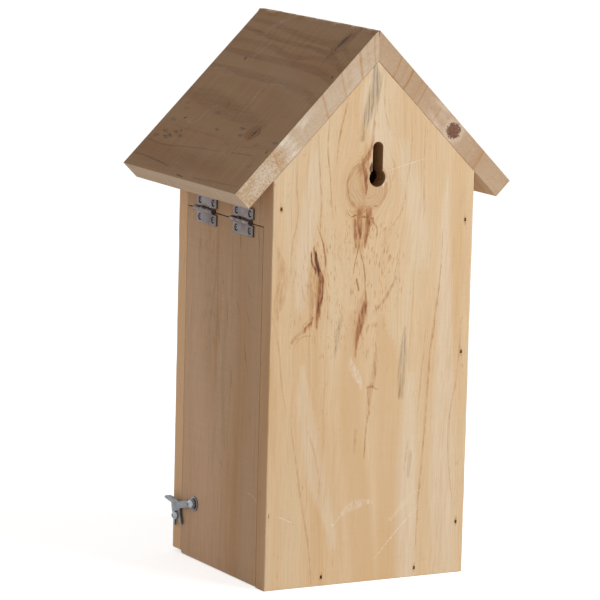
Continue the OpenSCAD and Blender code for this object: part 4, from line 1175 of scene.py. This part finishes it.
ROOF_LEFT_STREAKS = [
    # gently bent bands of brown latewood, from the ridge down to the eave
    Streak("bark", 0.3, [(-66.0, 9.1, 1.2), (-41.6, 9.8, 1.8), (-2.0, 13.6, 1.8),
                         (28.6, 14.7, 2.2), (41.4, 14.4, 2.2), (62.0, 22.0, 1.4)]),
    Streak("bark", 0.42, [(-66.9, 15.4, 1.2), (-29.4, 18.8, 1.6), (-0.1, 20.1, 1.4),
                          (23.1, 20.7, 1.6), (43.8, 23.0, 2.2), (66.0, 32.0, 1.4)]),
    Streak("bark", 0.32, [(-66.0, 24.3, 1.6), (-20.7, 25.2, 2.0), (7.1, 28.8, 1.9),
                          (37.0, 26.1, 1.6), (67.0, 29.4, 1.6)]),
    Streak("bark", 0.4, [(-66.5, 32.7, 1.6), (-33.3, 33.0, 2.2), (1.7, 33.3, 2.2),
                         (26.7, 33.5, 2.6), (51.8, 35.7, 2.6), (67.0, 39.6, 2.0)]),
    Streak("bark", 0.3, [(-66.3, 45.0, 1.6), (-16.1, 45.6, 2.6), (8.2, 46.5, 2.6),
                         (31.2, 46.8, 3.2), (67.0, 53.9, 2.6)]),
    Streak("bark", 0.3, [(-66.0, 65.0, 4.0), (-38.3, 67.0, 6.5), (-14.9, 70.1, 6.0),
                         (30.0, 76.0, 4.0)]),
    Streak("bark", 0.25, [(-66.0, 108.0, 8.0), (-20.0, 110.0, 8.0), (20.0, 108.0, 6.0)]),
    Streak("faded", 0.25, [(-40.0, 24.0, 4.0), (0.0, 36.0, 6.0), (40.0, 52.0, 7.0),
                           (66.0, 62.0, 6.0)]),
    # dark lines near the eave
    Streak("core", 0.36, [(-64.2, 112.6, 0.4), (-39.3, 113.6, 0.6), (-16.9, 115.8, 0.2)]),
    Streak("core", 0.24, [(-63.6, 101.9, 0.3), (-42.5, 103.0, 0.5), (-21.3, 100.9, 0.4),
                          (-2.4, 99.3, 0.6), (17.5, 98.4, 0.2)]),
    Streak("core", 0.27, [(31.9, 97.2, 0.4), (41.9, 96.2, 0.5), (52.7, 95.9, 0.3)]),
    Streak("core", 0.24, [(15.1, 118.3, 0.6), (37.0, 117.4, 0.6), (62.9, 116.4, 0.4)]),
    Streak("core", 0.8, [(-2.6, 119.2, 0.4), (1.6, 119.4, 0.5)]),
    # the dark hearts of two knots, and the brown wood round the upper one
    Streak("bark", 0.6, [(3.0, 50.0, 1.0), (8.0, 47.0, 4.0), (13.0, 44.0, 5.5),
                         (18.0, 43.0, 5.0), (24.0, 41.5, 1.5)], True),
    Streak("core", 0.75, [(8.4, 44.4, 0.7), (11.2, 43.6, 1.9), (14.0, 43.0, 1.7),
                          (17.0, 42.6, 0.6)], True),
    Streak("core", 0.5, [(78.0, 36.6, 0.4), (79.3, 33.4, 0.6), (81.6, 31.9, 0.7),
                         (84.2, 32.6, 0.6), (86.0, 34.6, 0.4)], True),
    Streak("core", 0.45, [(78.0, 36.8, 0.4), (79.9, 38.8, 0.6), (82.2, 39.6, 0.6),
                          (84.5, 38.0, 0.5), (86.0, 34.9, 0.4)], True),
    Streak("core", 0.75, [(79.9, 36.2, 0.5), (81.9, 35.6, 1.6), (84.4, 35.2, 0.5)], True),
    # spots of mould
    Streak("mould", 0.6, [(19.4, 80.6, 0.8), (20.7, 80.8, 1.3), (22.6, 80.6, 0.6)]),
    Streak("mould", 0.55, [(23.2, 85.3, 0.6), (24.6, 85.3, 1.3), (26.2, 85.0, 0.5)]),
    Streak("mould", 0.5, [(-4.3, 85.3, 0.4), (-3.1, 85.3, 0.9), (-2.0, 85.3, 0.4)]),
    Streak("mould", 0.5, [(-15.6, 67.8, 0.4), (-14.0, 67.8, 1.4), (-12.8, 68.0, 0.3)]),
    Streak("mould", 0.35, [(-58.0, 72.8, 0.6), (-56.5, 72.8, 1.2), (-54.8, 72.8, 0.6)]),
    Streak("mould", 0.35, [(-53.6, 76.7, 0.6), (-52.2, 76.7, 1.2), (-50.6, 76.7, 0.6)]),
    Streak("mould", 0.45, [(-58.2, 85.4, 0.5), (-56.4, 85.6, 1.5), (-54.0, 86.0, 0.5)]),
    Streak("mould", 0.6, [(-54.4, 94.1, 0.7), (-52.8, 94.1, 1.6), (-50.8, 94.6, 0.6)]),
    Streak("mould", 0.6, [(-61.0, 98.2, 0.5), (-59.2, 98.2, 1.4), (-57.0, 97.8, 0.6)]),
    Streak("mould", 0.65, [(-49.4, 97.6, 0.6), (-46.1, 97.1, 1.9), (-43.6, 96.8, 0.6)]),
    Streak("mould", 0.55, [(-43.0, 93.0, 0.6), (-41.1, 93.0, 1.5), (-38.6, 93.2, 0.5)]),
    Streak("mould", 0.5, [(-37.0, 94.9, 0.6), (-34.7, 94.9, 1.3), (-32.6, 95.2, 0.4)]),
    Streak("mould", 0.35, [(18.2, 92.6, 0.5), (19.8, 92.6, 1.2), (21.6, 92.6, 0.5)]),
    Streak("mould", 0.4, [(61.4, 84.7, 0.6), (63.2, 84.7, 1.3), (65.0, 84.4, 0.5)]),
    Streak("mould", 0.3, [(44.8, 88.9, 0.6), (46.6, 88.9, 1.4), (48.8, 88.6, 0.6)]),
    Streak("mould", 0.35, [(56.6, 102.2, 0.6), (58.0, 102.2, 1.3), (60.0, 102.2, 0.5)]),
    Streak("mould", 0.3, [(-19.4, 75.0, 0.8), (-17.5, 75.0, 1.6), (-14.8, 75.0, 0.6)]),
    Streak("core", 0.9, [(-45.6, 83.0, 0.3), (-44.8, 82.7, 0.7), (-44.0, 82.4, 0.3)]),
    # scratches and rubbed places
    Streak("scuff_and_lit_spot", 0.41, [(2.3, -25.0, 2.0), (7.2, -33.5, 3.5), (14.1, -39.3, 2.0)], True),
    Streak("scuff_and_lit_spot", 0.45, [(22.0, -25.0, 0.8), (26.0, -26.6, 1.6), (32.6, -30.4, 1.2)], True),
    Streak("scuff_and_lit_spot", 0.45, [(49.3, 9.6, 0.6), (54.3, 6.1, 0.9), (63.2, 5.7, 0.6),
                           (72.2, 5.3, 0.4)], True),
    Streak("scuff_and_lit_spot", 0.41, [(9.6, 49.6, 0.6), (16.0, 48.2, 0.8), (24.5, 48.8, 0.4)]),
    Streak("scuff_and_lit_spot", 0.49, [(66.2, -13.4, 0.3), (75.3, -29.0, 0.8), (81.4, -29.8, 0.8),
                           (85.0, -33.2, 0.6)], True),
    Streak("scuff_and_lit_spot", 0.45, [(-43.5, 82.8, 0.4), (-38.0, 84.8, 0.8), (-33.2, 85.0, 0.5)]),
    Streak("scuff_and_lit_spot", 0.45, [(101.5, -20.5, 0.3), (106.4, -23.1, 0.5)], True),
    Streak("scuff_and_lit_spot", 0.61, [(109.4, -14.1, 0.3), (118.0, -12.6, 0.4)], True),
    Streak("scuff_and_lit_spot", 0.61, [(114.5, 36.5, 0.3), (120.3, 41.0, 0.5)], True),
    Streak("scuff_and_lit_spot", 0.28, [(-55.7, 46.8, 1.5), (-45.0, 48.4, 3.0), (-35.6, 48.4, 1.0)]),
    Streak("scuff_and_lit_spot", 0.41, [(37.0, 2.1, 0.4), (43.4, -0.7, 0.8)], True),
    Streak("scuff_and_lit_spot", 0.61, [(50.6, 52.5, 0.4), (52.0, 52.5, 0.9), (53.8, 52.5, 0.4)]),
]
ROOF_LEFT_KNOTS = [Knot((12.0, 44.0), 7.0, 0.5, 2.5, 0.3), Knot((81.6, 34.4), 4.6, 1.4, 3.0, 0.6)]

# How the wood of a board looks. wander and waver are how far the grain strays in mm; pith is the
# trunk's middle, across and deep; ring is a year's growth in mm, and soft the share of it before
# the latewood; contrast, fibre, flecks, rim and saw say how strongly latewood, fibres, torn
# fibres, rims of knots and saw marks show; rough is the middle and half size of the roughest
# part. weather_and_shade, tone_and_shade and inside tint the outer face, the edges and the inner
# face; the first two are partly weathering and tone and partly painted shade, which darkens the
# side boards and the roof's outer face. On the ends, speckle is where across the board speckles
# come in, end_rings how strong the rings are, fuzz the strength, middle and reach of pale fuzz,
# and end_tint a tint. round is how much of the size Edge the outlines of the outer and the inner
# face are rounded by.
WALL = {"wander": 5.0, "waver": 2.2, "pith": (6.0, -38.0), "ring": 3.4, "soft": 0.6,
        "contrast": 0.5, "fibre": 0.075, "flecks": 0.68, "rough": ((14.0, 165.0), (46.0, 60.0)),
        "rim": 0.75, "saw": 0.008, "weather_and_shade": "#ffffff", "tone_and_shade": "#f1e3df",
        "speckle": (-100.0, -90.0), "end_rings": 0.6, "fuzz": (0.3, 0.0, 200.0), "bump": 0.4,
        "round": (1.0, 0.35), "end_tint": "#ffffff", "inside": "#f6ecdf"}
# The side boards' tint, darker and redder, is partly their tone and partly painted shade
SIDE = dict(WALL, pith=(-9.0, 55.0), ring=4.4, contrast=0.75, fibre=0.12, flecks=0.5, wander=4.0,
            rough=((0.0, 150.0), (30.0, 60.0)), weather_and_shade="#f1e3df", saw=0.02, round=(0.4, 0.4))
# The roof's outer face is tinted darker, partly by weathering and partly as painted shade
ROOF = dict(WALL, pith=(-50.0, 55.0), ring=6.0, contrast=0.5, soft=0.45, flecks=0.3,
            fibre=0.05, wander=3.0, waver=1.0, rough=((80.0, 20.0), (40.0, 60.0)),
            weather_and_shade="#bfab9c", tone_and_shade="#f8f6ff", inside="#ffffff", saw=0.09,
            speckle=(76.0, 92.0), end_rings=0.9, fuzz=(0.9, 75.0, 15.0), round=(1.0, 0.6))
DOWN_LEFT = Vector((1, 0, -1)).normalized()
DOWN_RIGHT = Vector((-1, 0, -1)).normalized()
RIDGE = (0, 0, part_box("roof_board_left")[1].z / MM)

BACK = Board("back_panel", X, Z, (0, 67.5, 0), (-66, 66), (0, 300), None, WALL,
             BACK_STREAKS, BACK_KNOTS)
FRONT = Board("front_panel", X, Z, (0, -42.5, 0), (-66, 66), (0, 300),
              (1.6, (0, -42.5, 2)),
              dict(WALL, pith=(-21.0, -40.0), contrast=0.3, fibre=0.16, flecks=0.4,
                   rough=((-30, 90), (30, 50)), tone_and_shade="#fff0e0"),
              [Streak("pale_and_lit", 1.15, [(0.0, x, 2.0), (240.0, x, 2.0)]) for x in (-62.5, 62.5)],
              [Knot((-34.0, 84.0), 5.0, 1.4, 4.0, 0.6)])
FIXED_SIDE = Board("fixed_side_panel", Y, Z, (-62.5, 0, 0), (-45, 70), (0, 240), None, SIDE,
                   [], [Knot((21.0, 141.0), 4.0, 1.5, 3.0, 0.7)])
HEADER = Board("door_header", Y, Z, (62.5, 0, 0), (-45, 70), (0, 240), None, SIDE, [], [])
DOOR = Board("door_panel", Y, Z, (62.5, 0, 0), (-45, 70), (0, 240),
             (2.0, (57.5, -31.9, 0.5)), SIDE, DOOR_STREAKS, [])
FLOOR = Board("floor_panel", X, Y, (0, 0, 10), (-66, 66), (-45, 70), None,
              dict(SIDE, pith=(12.0, -40.0)), [], [])
ROOF_LEFT = Board("roof_board_left", DOWN_LEFT, Y, RIDGE, (0, 125), (-70, 70), None, ROOF,
                  ROOF_LEFT_STREAKS, ROOF_LEFT_KNOTS)
ROOF_RIGHT = Board("roof_board_right", DOWN_RIGHT, Y, RIDGE, (0, 125), (-70, 70), None,
                   dict(ROOF, pith=(-50.0, -30.0), speckle=(400.0, 500.0),
                        fuzz=(0.6, 64.0, 18.0), end_tint="#eee3d8"),
                   [], [Knot((71.0, 20.0), 3.5, 1.6, 3.0, 0.7)], ((74.2, -5.8), 5.4))


# What a user may change

def colour_of(title, about, code):
    """Colour property whose default is an sRGB hex colour."""
    return FloatVectorProperty(name=title, description=about, subtype="COLOR", size=4,
                               min=0.0, max=1.0, default=linear(code))


def size_of(title, about, default, least, most):
    """Length property, given in mm."""
    return FloatProperty(name=title, description=about, default=default * MM, min=least * MM,
                         max=most * MM, unit="LENGTH", precision=5)


class PineSettings(bpy.types.PropertyGroup):
    """Colours of bare pine and how its edges have worn."""
    pale: colour_of("Pale wood", "Earlywood between the growth rings", "#dcc4a2")
    warm: colour_of("Warm wood", "Broad warmer bands of sapwood", "#d0a97a")
    faded: colour_of("Faded wood", "Palest sapwood", "#dfceb6")
    ring: colour_of("Latewood", "Narrow darker lines of the growth rings", "#b3824c")
    knot: colour_of("Knot", "Wood of a branch cut across", "#bf9a72")
    resin: colour_of("Resin", "Resin lines along the grain", "#b07a44")
    pitch: colour_of("Pitch", "Reddish brown pitch and torn fibres", "#8e5535")
    # This pale tint is paler wood on the front's edges and painted light on the foot of the door
    pale_and_lit: colour_of("Pale wood and painted light", "Warm, pale edges of the front and foot of the door",
                      "#f0cea9")
    bark: colour_of("Latewood on the roof", "Soft brown bands of wood cut flat", "#947250")
    core: colour_of("Old pitch", "Darkest part of cracks and pitch", "#4f2a1a")
    stain: colour_of("Blue stain", "What grey stain leaves of the wood's colour", "#b4b1ae")
    mould: colour_of("Mould", "Blue black spots on the roof", "#56545a")
    # This tint is pale scratches and fuzz, and also a painted spot of light on the keyhole's wall
    scuff_and_lit_spot: colour_of("Scuff", "Pale scratches and raised dry fibres", "#ede2d4")
    end_pale: colour_of("End grain", "Sawn ends of the boards", "#ccb9a3")
    end_dark: colour_of("End grain pores", "Speckles of the sawn ends", "#b08c60")
    edge: size_of("Edge", "Rounding of the board edges", 0.45, 0.1, 1.5)
    ridge: size_of("Ridge", "Splintered edge of the boards at the ridge", 1.2, 0.1, 1.5)
    wear: FloatProperty(name="Wear", description="Unevenness of the rounding, as a share of it",
                        default=0.9, min=0.0, max=1.5, subtype="FACTOR")
    cut: size_of("Cut", "Spacing of the cuts that let an edge wear", 2.6, 1, 10)


class SteelSettings(bpy.types.PropertyGroup):
    """Finish of the hinges, latch, screws and brads."""
    plate: colour_of("Plate", "Zinc plated sheet of the hinges", "#7b716f")
    plate_dull: colour_of("Dull plate", "Handled patches of the hinges", "#685e5c")
    hook: colour_of("Hook", "Zinc plated sheet of the latch", "#84888c")
    hook_dull: colour_of("Dull hook", "Handled patches of the latch", "#707479")
    screw: colour_of("Screw", "Bright zinc plated screws", "#b4b7b8")
    screw_dull: colour_of("Dull screw", "Darker patches on the screws", "#7d8286")
    brad: colour_of("Brad", "Rusty steel of the brads", "#8a6a4c")
    brad_dull: colour_of("Dull brad", "Darker patches on the brads", "#3c322b")
    edge: size_of("Edge", "Broken edge of stamped sheet", 0.12, 0.02, 0.3)
    seed: IntProperty(name="Seed", description="Sets how each screw has stopped turning",
                      default=6, min=0)


class StageSettings(bpy.types.PropertyGroup):
    """Light, floor and camera."""
    key: FloatProperty(name="Key light", description="Large soft light behind the camera's right",
                       default=13.0, min=0.0, unit="POWER")
    fill: FloatProperty(name="Fill", description="Level of the surrounding light",
                        default=0.45, min=0.0, max=1.0)
    floor: colour_of("Floor", "Plain pale floor", "#f4f4f4")
    floor_lift: FloatProperty(name="Floor lift", description="What the camera adds to the floor",
                              default=0.62, min=0.0, max=1.0)
    azimuth: FloatProperty(name="Azimuth", description="Camera's turn round the box",
                           default=math.radians(151.158), subtype="ANGLE")
    elevation: FloatProperty(name="Elevation", description="Camera's height as an angle",
                             default=math.radians(9.3413), subtype="ANGLE")
    roll: FloatProperty(name="Roll", description="Camera's lean to one side",
                        default=math.radians(-1.4494), subtype="ANGLE")
    lens: FloatProperty(name="Lens", description="Focal length on a 36 mm sensor",
                        default=238.77, min=10.0, subtype="DISTANCE_CAMERA")
    place: FloatVectorProperty(name="Place", description="Camera's place", subtype="TRANSLATION",
                               default=(1.06451, 1.91936, 0.50733))


# Operators, one for each group of pieces

def dress_boards(boards, body, slot, context):
    """Makes the worn boards, each with its own cut of pine, and lets them ride on a body."""
    wood = context.scene.nest_box_pine
    for board in boards:
        material = pine_material("Planed pine, " + board.node.replace("_", " "), board, wood)
        stand_for(worn_board(board, wood, material), body, slot, board.node)


class NESTBOX_OT_walls(bpy.types.Operator):
    """Back, front, floor and fixed side of the box"""
    bl_idname = "nestbox.walls"
    bl_label = "Walls"

    def execute(self, context):
        dress_boards([BACK, FRONT, FLOOR], "box", "wall_pine", context)
        dress_boards([FIXED_SIDE, HEADER], "box", "side_pine", context)
        return {"FINISHED"}


class NESTBOX_OT_door(bpy.types.Operator):
    """Side door, cut from the same board as the header above it"""
    bl_idname = "nestbox.door"
    bl_label = "Door"

    def execute(self, context):
        dress_boards([DOOR], "door", "side_pine", context)
        return {"FINISHED"}


class NESTBOX_OT_roof(bpy.types.Operator):
    """Two roof boards that meet in a mitre at the ridge"""
    bl_idname = "nestbox.roof"
    bl_label = "Roof"

    def execute(self, context):
        dress_boards([ROOF_LEFT, ROOF_RIGHT], "box", "roof_pine", context)
        return {"FINISHED"}


def dress_sheet(pieces, edge, material):
    """Makes the softened pieces of sheet metal, each of which rides on its body."""
    for node_name, body in pieces:
        piece = soft_metal(node_name, edge, material)
        stand_for(piece, body, "zinc_plate", node_name)


class NESTBOX_OT_hinges(bpy.types.Operator):
    """Two small butt hinges of zinc plated sheet steel"""
    bl_idname = "nestbox.hinges"
    bl_label = "Hinges"

    def execute(self, context):
        steel = context.scene.nest_box_steel
        sheet = steel_material("Rolled zinc plated sheet, hinges", steel.plate, steel.plate_dull,
                               roughness=0.33, grain_mm=0.35)
        wire = steel_material("Drawn zinc plated wire, hinge pins", steel.plate_dull,
                              steel.plate_dull, roughness=0.38, grain_mm=0.5)
        for hinge in ("front_hinge", "rear_hinge"):
            dress_sheet([(hinge + "_fixed_leaf", "box"), (hinge + "_door_leaf", "door")],
                        steel.edge, sheet)
            paint_node(hinge + "_pin", wire)
        return {"FINISHED"}


class NESTBOX_OT_latch(bpy.types.Operator):
    """Stamped hook with a folded thumb tab, and the washer under it"""
    bl_idname = "nestbox.latch"
    bl_label = "Latch"

    def execute(self, context):
        steel = context.scene.nest_box_steel
        sheet = steel_material("Stamped zinc plated sheet, latch", steel.hook, steel.hook_dull,
                               roughness=0.34, grain_mm=0.6)
        dress_sheet([("latch_hook", "hook"), ("latch_washer", "door")], steel.edge, sheet)
        return {"FINISHED"}


def drive_screws(tree, screws, sizes):
    """Puts screws where the CAD's are, with the tops of their heads level with those."""
    for node_name, body in screws:
        seats = [front - X * sizes["Dome"] for front in island_fronts(node_name, X)]
        piece = repeat_at(node_name + "_turned", tree, seats, sizes)
        stand_for(piece, body, "screw_zinc", node_name)


class NESTBOX_OT_screws(bpy.types.Operator):
    """Countersunk hinge screws and domed latch screws"""
    bl_idname = "nestbox.screws"
    bl_label = "Screws"

    def execute(self, context):
        steel = context.scene.nest_box_steel
        bright = steel_material("Turned zinc plated steel, screws", steel.screw,
                                steel.screw_dull, roughness=0.22, grain_mm=0.4)
        worn = steel_material("Turned zinc plated steel, hinge screws", steel.screw_dull,
                              steel.plate_dull, roughness=0.26, grain_mm=0.4)
        tree = screw_tree()
        drive_screws(tree, [("header_hinge_screws", "box"), ("door_hinge_screws", "door")],
                     {"Material": worn, "Head radius": 1.45 * MM, "Dome": 0.45 * MM,
                      "Under head": 0.8 * MM, "Shank radius": 1.0 * MM, "Length": 7.5 * MM,
                      "Cross": 2.3 * MM, "Cross depth": 0.6 * MM, "Seed": steel.seed})
        drive_screws(tree, [("latch_keeper_screw", "box"), ("latch_pivot_screw", "door")],
                     {"Material": bright, "Head radius": 2.55 * MM, "Dome": 2.2 * MM,
                      "Under head": 1.2 * MM, "Shank radius": 1.2 * MM, "Length": 9 * MM,
                      "Cross": 2.9 * MM, "Cross depth": 0.9 * MM, "Seed": steel.seed})
        return {"FINISHED"}


BRAD_SETS = [("back_panel_brads", Y), ("front_panel_brads", -Y),
             ("roof_left_brads", Vector((1, 0, 1)).normalized()),
             ("roof_right_brads", Vector((-1, 0, 1)).normalized())]


class NESTBOX_OT_brads(bpy.types.Operator):
    """Brads that hold the boards together, sunk a little below the surface"""
    bl_idname = "nestbox.brads"
    bl_label = "Brads"

    def execute(self, context):
        steel = context.scene.nest_box_steel
        metal = steel_material("Drawn bare steel, brads", steel.brad, steel.brad_dull,
                               roughness=0.5, grain_mm=0.5, rust=0.5)
        tree = brad_tree()
        size = {"Material": metal, "Width": 1.15 * MM, "Height": 1.75 * MM, "Length": 18 * MM,
                "Crown": 0.25 * MM, "Seed": steel.seed}
        for node_name, facing in BRAD_SETS:
            seats = island_fronts(node_name, facing)
            piece = repeat_at(node_name + "_driven", tree, seats, size, [facing] * len(seats))
            stand_for(piece, "box", "brad_steel", node_name)
        return {"FINISHED"}


def camera_matrix(stage):
    """Place and turn of a camera that looks along the photographed angle."""
    turn, rise = stage.azimuth, stage.elevation
    back = Vector((math.sin(turn) * math.cos(rise), -math.cos(turn) * math.cos(rise),
                   math.sin(rise)))
    side = Z.cross(back).normalized()
    up = back.cross(side)
    lean_c, lean_s = math.cos(stage.roll), math.sin(stage.roll)
    right = side * lean_c - up * lean_s
    top = side * lean_s + up * lean_c
    return Matrix.Translation(stage.place) @ Matrix((right, top, back)).transposed().to_4x4()


BOX_MIDDLE = Vector((0, 0, 0.15))


def add_softbox(name, power, size, toward, distance):
    """Square lamp of the given size that shines at the middle of the box."""
    lamp = bpy.data.lights.new(name, "AREA")
    lamp.shape = "SQUARE"
    lamp.size = size
    lamp.energy = power
    holder = bpy.data.objects.new(name, lamp)
    bpy.context.scene.collection.objects.link(holder)
    aim = Vector(toward).normalized()
    holder.matrix_world = (Matrix.Translation(BOX_MIDDLE + aim * distance)
                           @ aim.to_track_quat("Z", "Y").to_matrix().to_4x4())
    return holder


def seen_directly(tree):
    """Socket that is 1 for what the camera sees, straight, in a reflection or through glass."""
    path = node(tree, "ShaderNodeLightPath")
    mirrored = node(tree, "ShaderNodeMath",
                    {0: path.outputs["Is Camera Ray"], 1: path.outputs["Is Glossy Ray"]},
                    operation="MAXIMUM")
    return node(tree, "ShaderNodeMath",
                {0: mirrored, 1: path.outputs["Is Transmission Ray"]}, operation="MAXIMUM")


class NESTBOX_OT_stage(bpy.types.Operator):
    """Plain pale floor, soft light and the camera"""
    bl_idname = "nestbox.stage"
    bl_label = "Stage"

    def execute(self, context):
        scene = context.scene
        stage = scene.nest_box_stage
        lens = bpy.data.cameras.new("Camera")
        lens.lens = stage.lens
        lens.sensor_width = 36.0
        lens.clip_start = 0.05
        lens.clip_end = 60.0
        camera = bpy.data.objects.new("Camera", lens)
        scene.collection.objects.link(camera)
        camera.matrix_world = camera_matrix(stage)
        scene.camera = camera

        add_softbox("Key softbox", stage.key, size=0.9, toward=(-0.55, 0.8, 0.30),
                    distance=1.5)

        world = bpy.data.worlds.new("Soft surround")
        scene.world = world
        world.use_nodes = True
        sky = world.node_tree
        sky.nodes.clear()
        strength = node(sky, "ShaderNodeMix",
                        {"Factor": seen_directly(sky), "A": stage.fill, "B": 1.0},
                        data_type="FLOAT")
        surround = node(sky, "ShaderNodeBackground",
                        {"Color": (1.0, 1.0, 1.0, 1.0), "Strength": strength})
        node(sky, "ShaderNodeOutputWorld", {"Surface": surround})

        paint, tree = blank_material("Matt white floor")
        matt = node(tree, "ShaderNodeBsdfDiffuse", {"Color": stage.floor})
        lift = node(tree, "ShaderNodeMath",
                    {0: seen_directly(tree), 1: stage.floor_lift}, operation="MULTIPLY")
        glow = node(tree, "ShaderNodeEmission", {"Strength": lift})
        both = node(tree, "ShaderNodeAddShader", {0: matt, 1: glow})
        node(tree, "ShaderNodeOutputMaterial", {"Surface": both})
        bm = bmesh.new()
        bmesh.ops.create_grid(bm, x_segments=1, y_segments=1, size=12.0)
        floor = finished_piece(bm, "Floor", paint)
        scene.view_settings.view_transform = "Standard"
        return {"FINISHED"}


class NESTBOX_PT_panel(bpy.types.Panel):
    """Lists the settings and the operators of the nest box"""
    bl_idname = "NESTBOX_PT_panel"
    bl_label = "Nest box"
    bl_space_type = "VIEW_3D"
    bl_region_type = "UI"
    bl_category = "Nest Box"

    def draw(self, context):
        for title in SETTINGS:
            group = getattr(context.scene, title)
            box = self.layout.box()
            for name in group.__annotations__:
                box.prop(group, name)
        for operator in OPERATORS:
            self.layout.operator(operator.bl_idname)


SETTINGS = {"nest_box_pine": PineSettings, "nest_box_steel": SteelSettings,
            "nest_box_stage": StageSettings}
OPERATORS = [NESTBOX_OT_stage, NESTBOX_OT_walls, NESTBOX_OT_door, NESTBOX_OT_roof,
             NESTBOX_OT_hinges, NESTBOX_OT_latch, NESTBOX_OT_screws, NESTBOX_OT_brads]


def register():
    """Adds the settings, the operators and the panel."""
    for group in SETTINGS.values():
        bpy.utils.register_class(group)
    for title, group in SETTINGS.items():
        setattr(bpy.types.Scene, title, PointerProperty(type=group))
    for operator in OPERATORS:
        bpy.utils.register_class(operator)
    bpy.utils.register_class(NESTBOX_PT_panel)


def unregister():
    """Takes them away again."""
    bpy.utils.unregister_class(NESTBOX_PT_panel)
    for operator in reversed(OPERATORS):
        bpy.utils.unregister_class(operator)
    for title in SETTINGS:
        delattr(bpy.types.Scene, title)
    for group in reversed(list(SETTINGS.values())):
        bpy.utils.unregister_class(group)


def main():
    register()
    grain_round_knot()
    streak_mask()
    bpy.ops.nestbox.stage()
    bpy.ops.nestbox.walls()
    bpy.ops.nestbox.door()
    bpy.ops.nestbox.roof()
    bpy.ops.nestbox.hinges()
    bpy.ops.nestbox.latch()
    bpy.ops.nestbox.screws()
    bpy.ops.nestbox.brads()


if __name__ == "__main__":
    main()
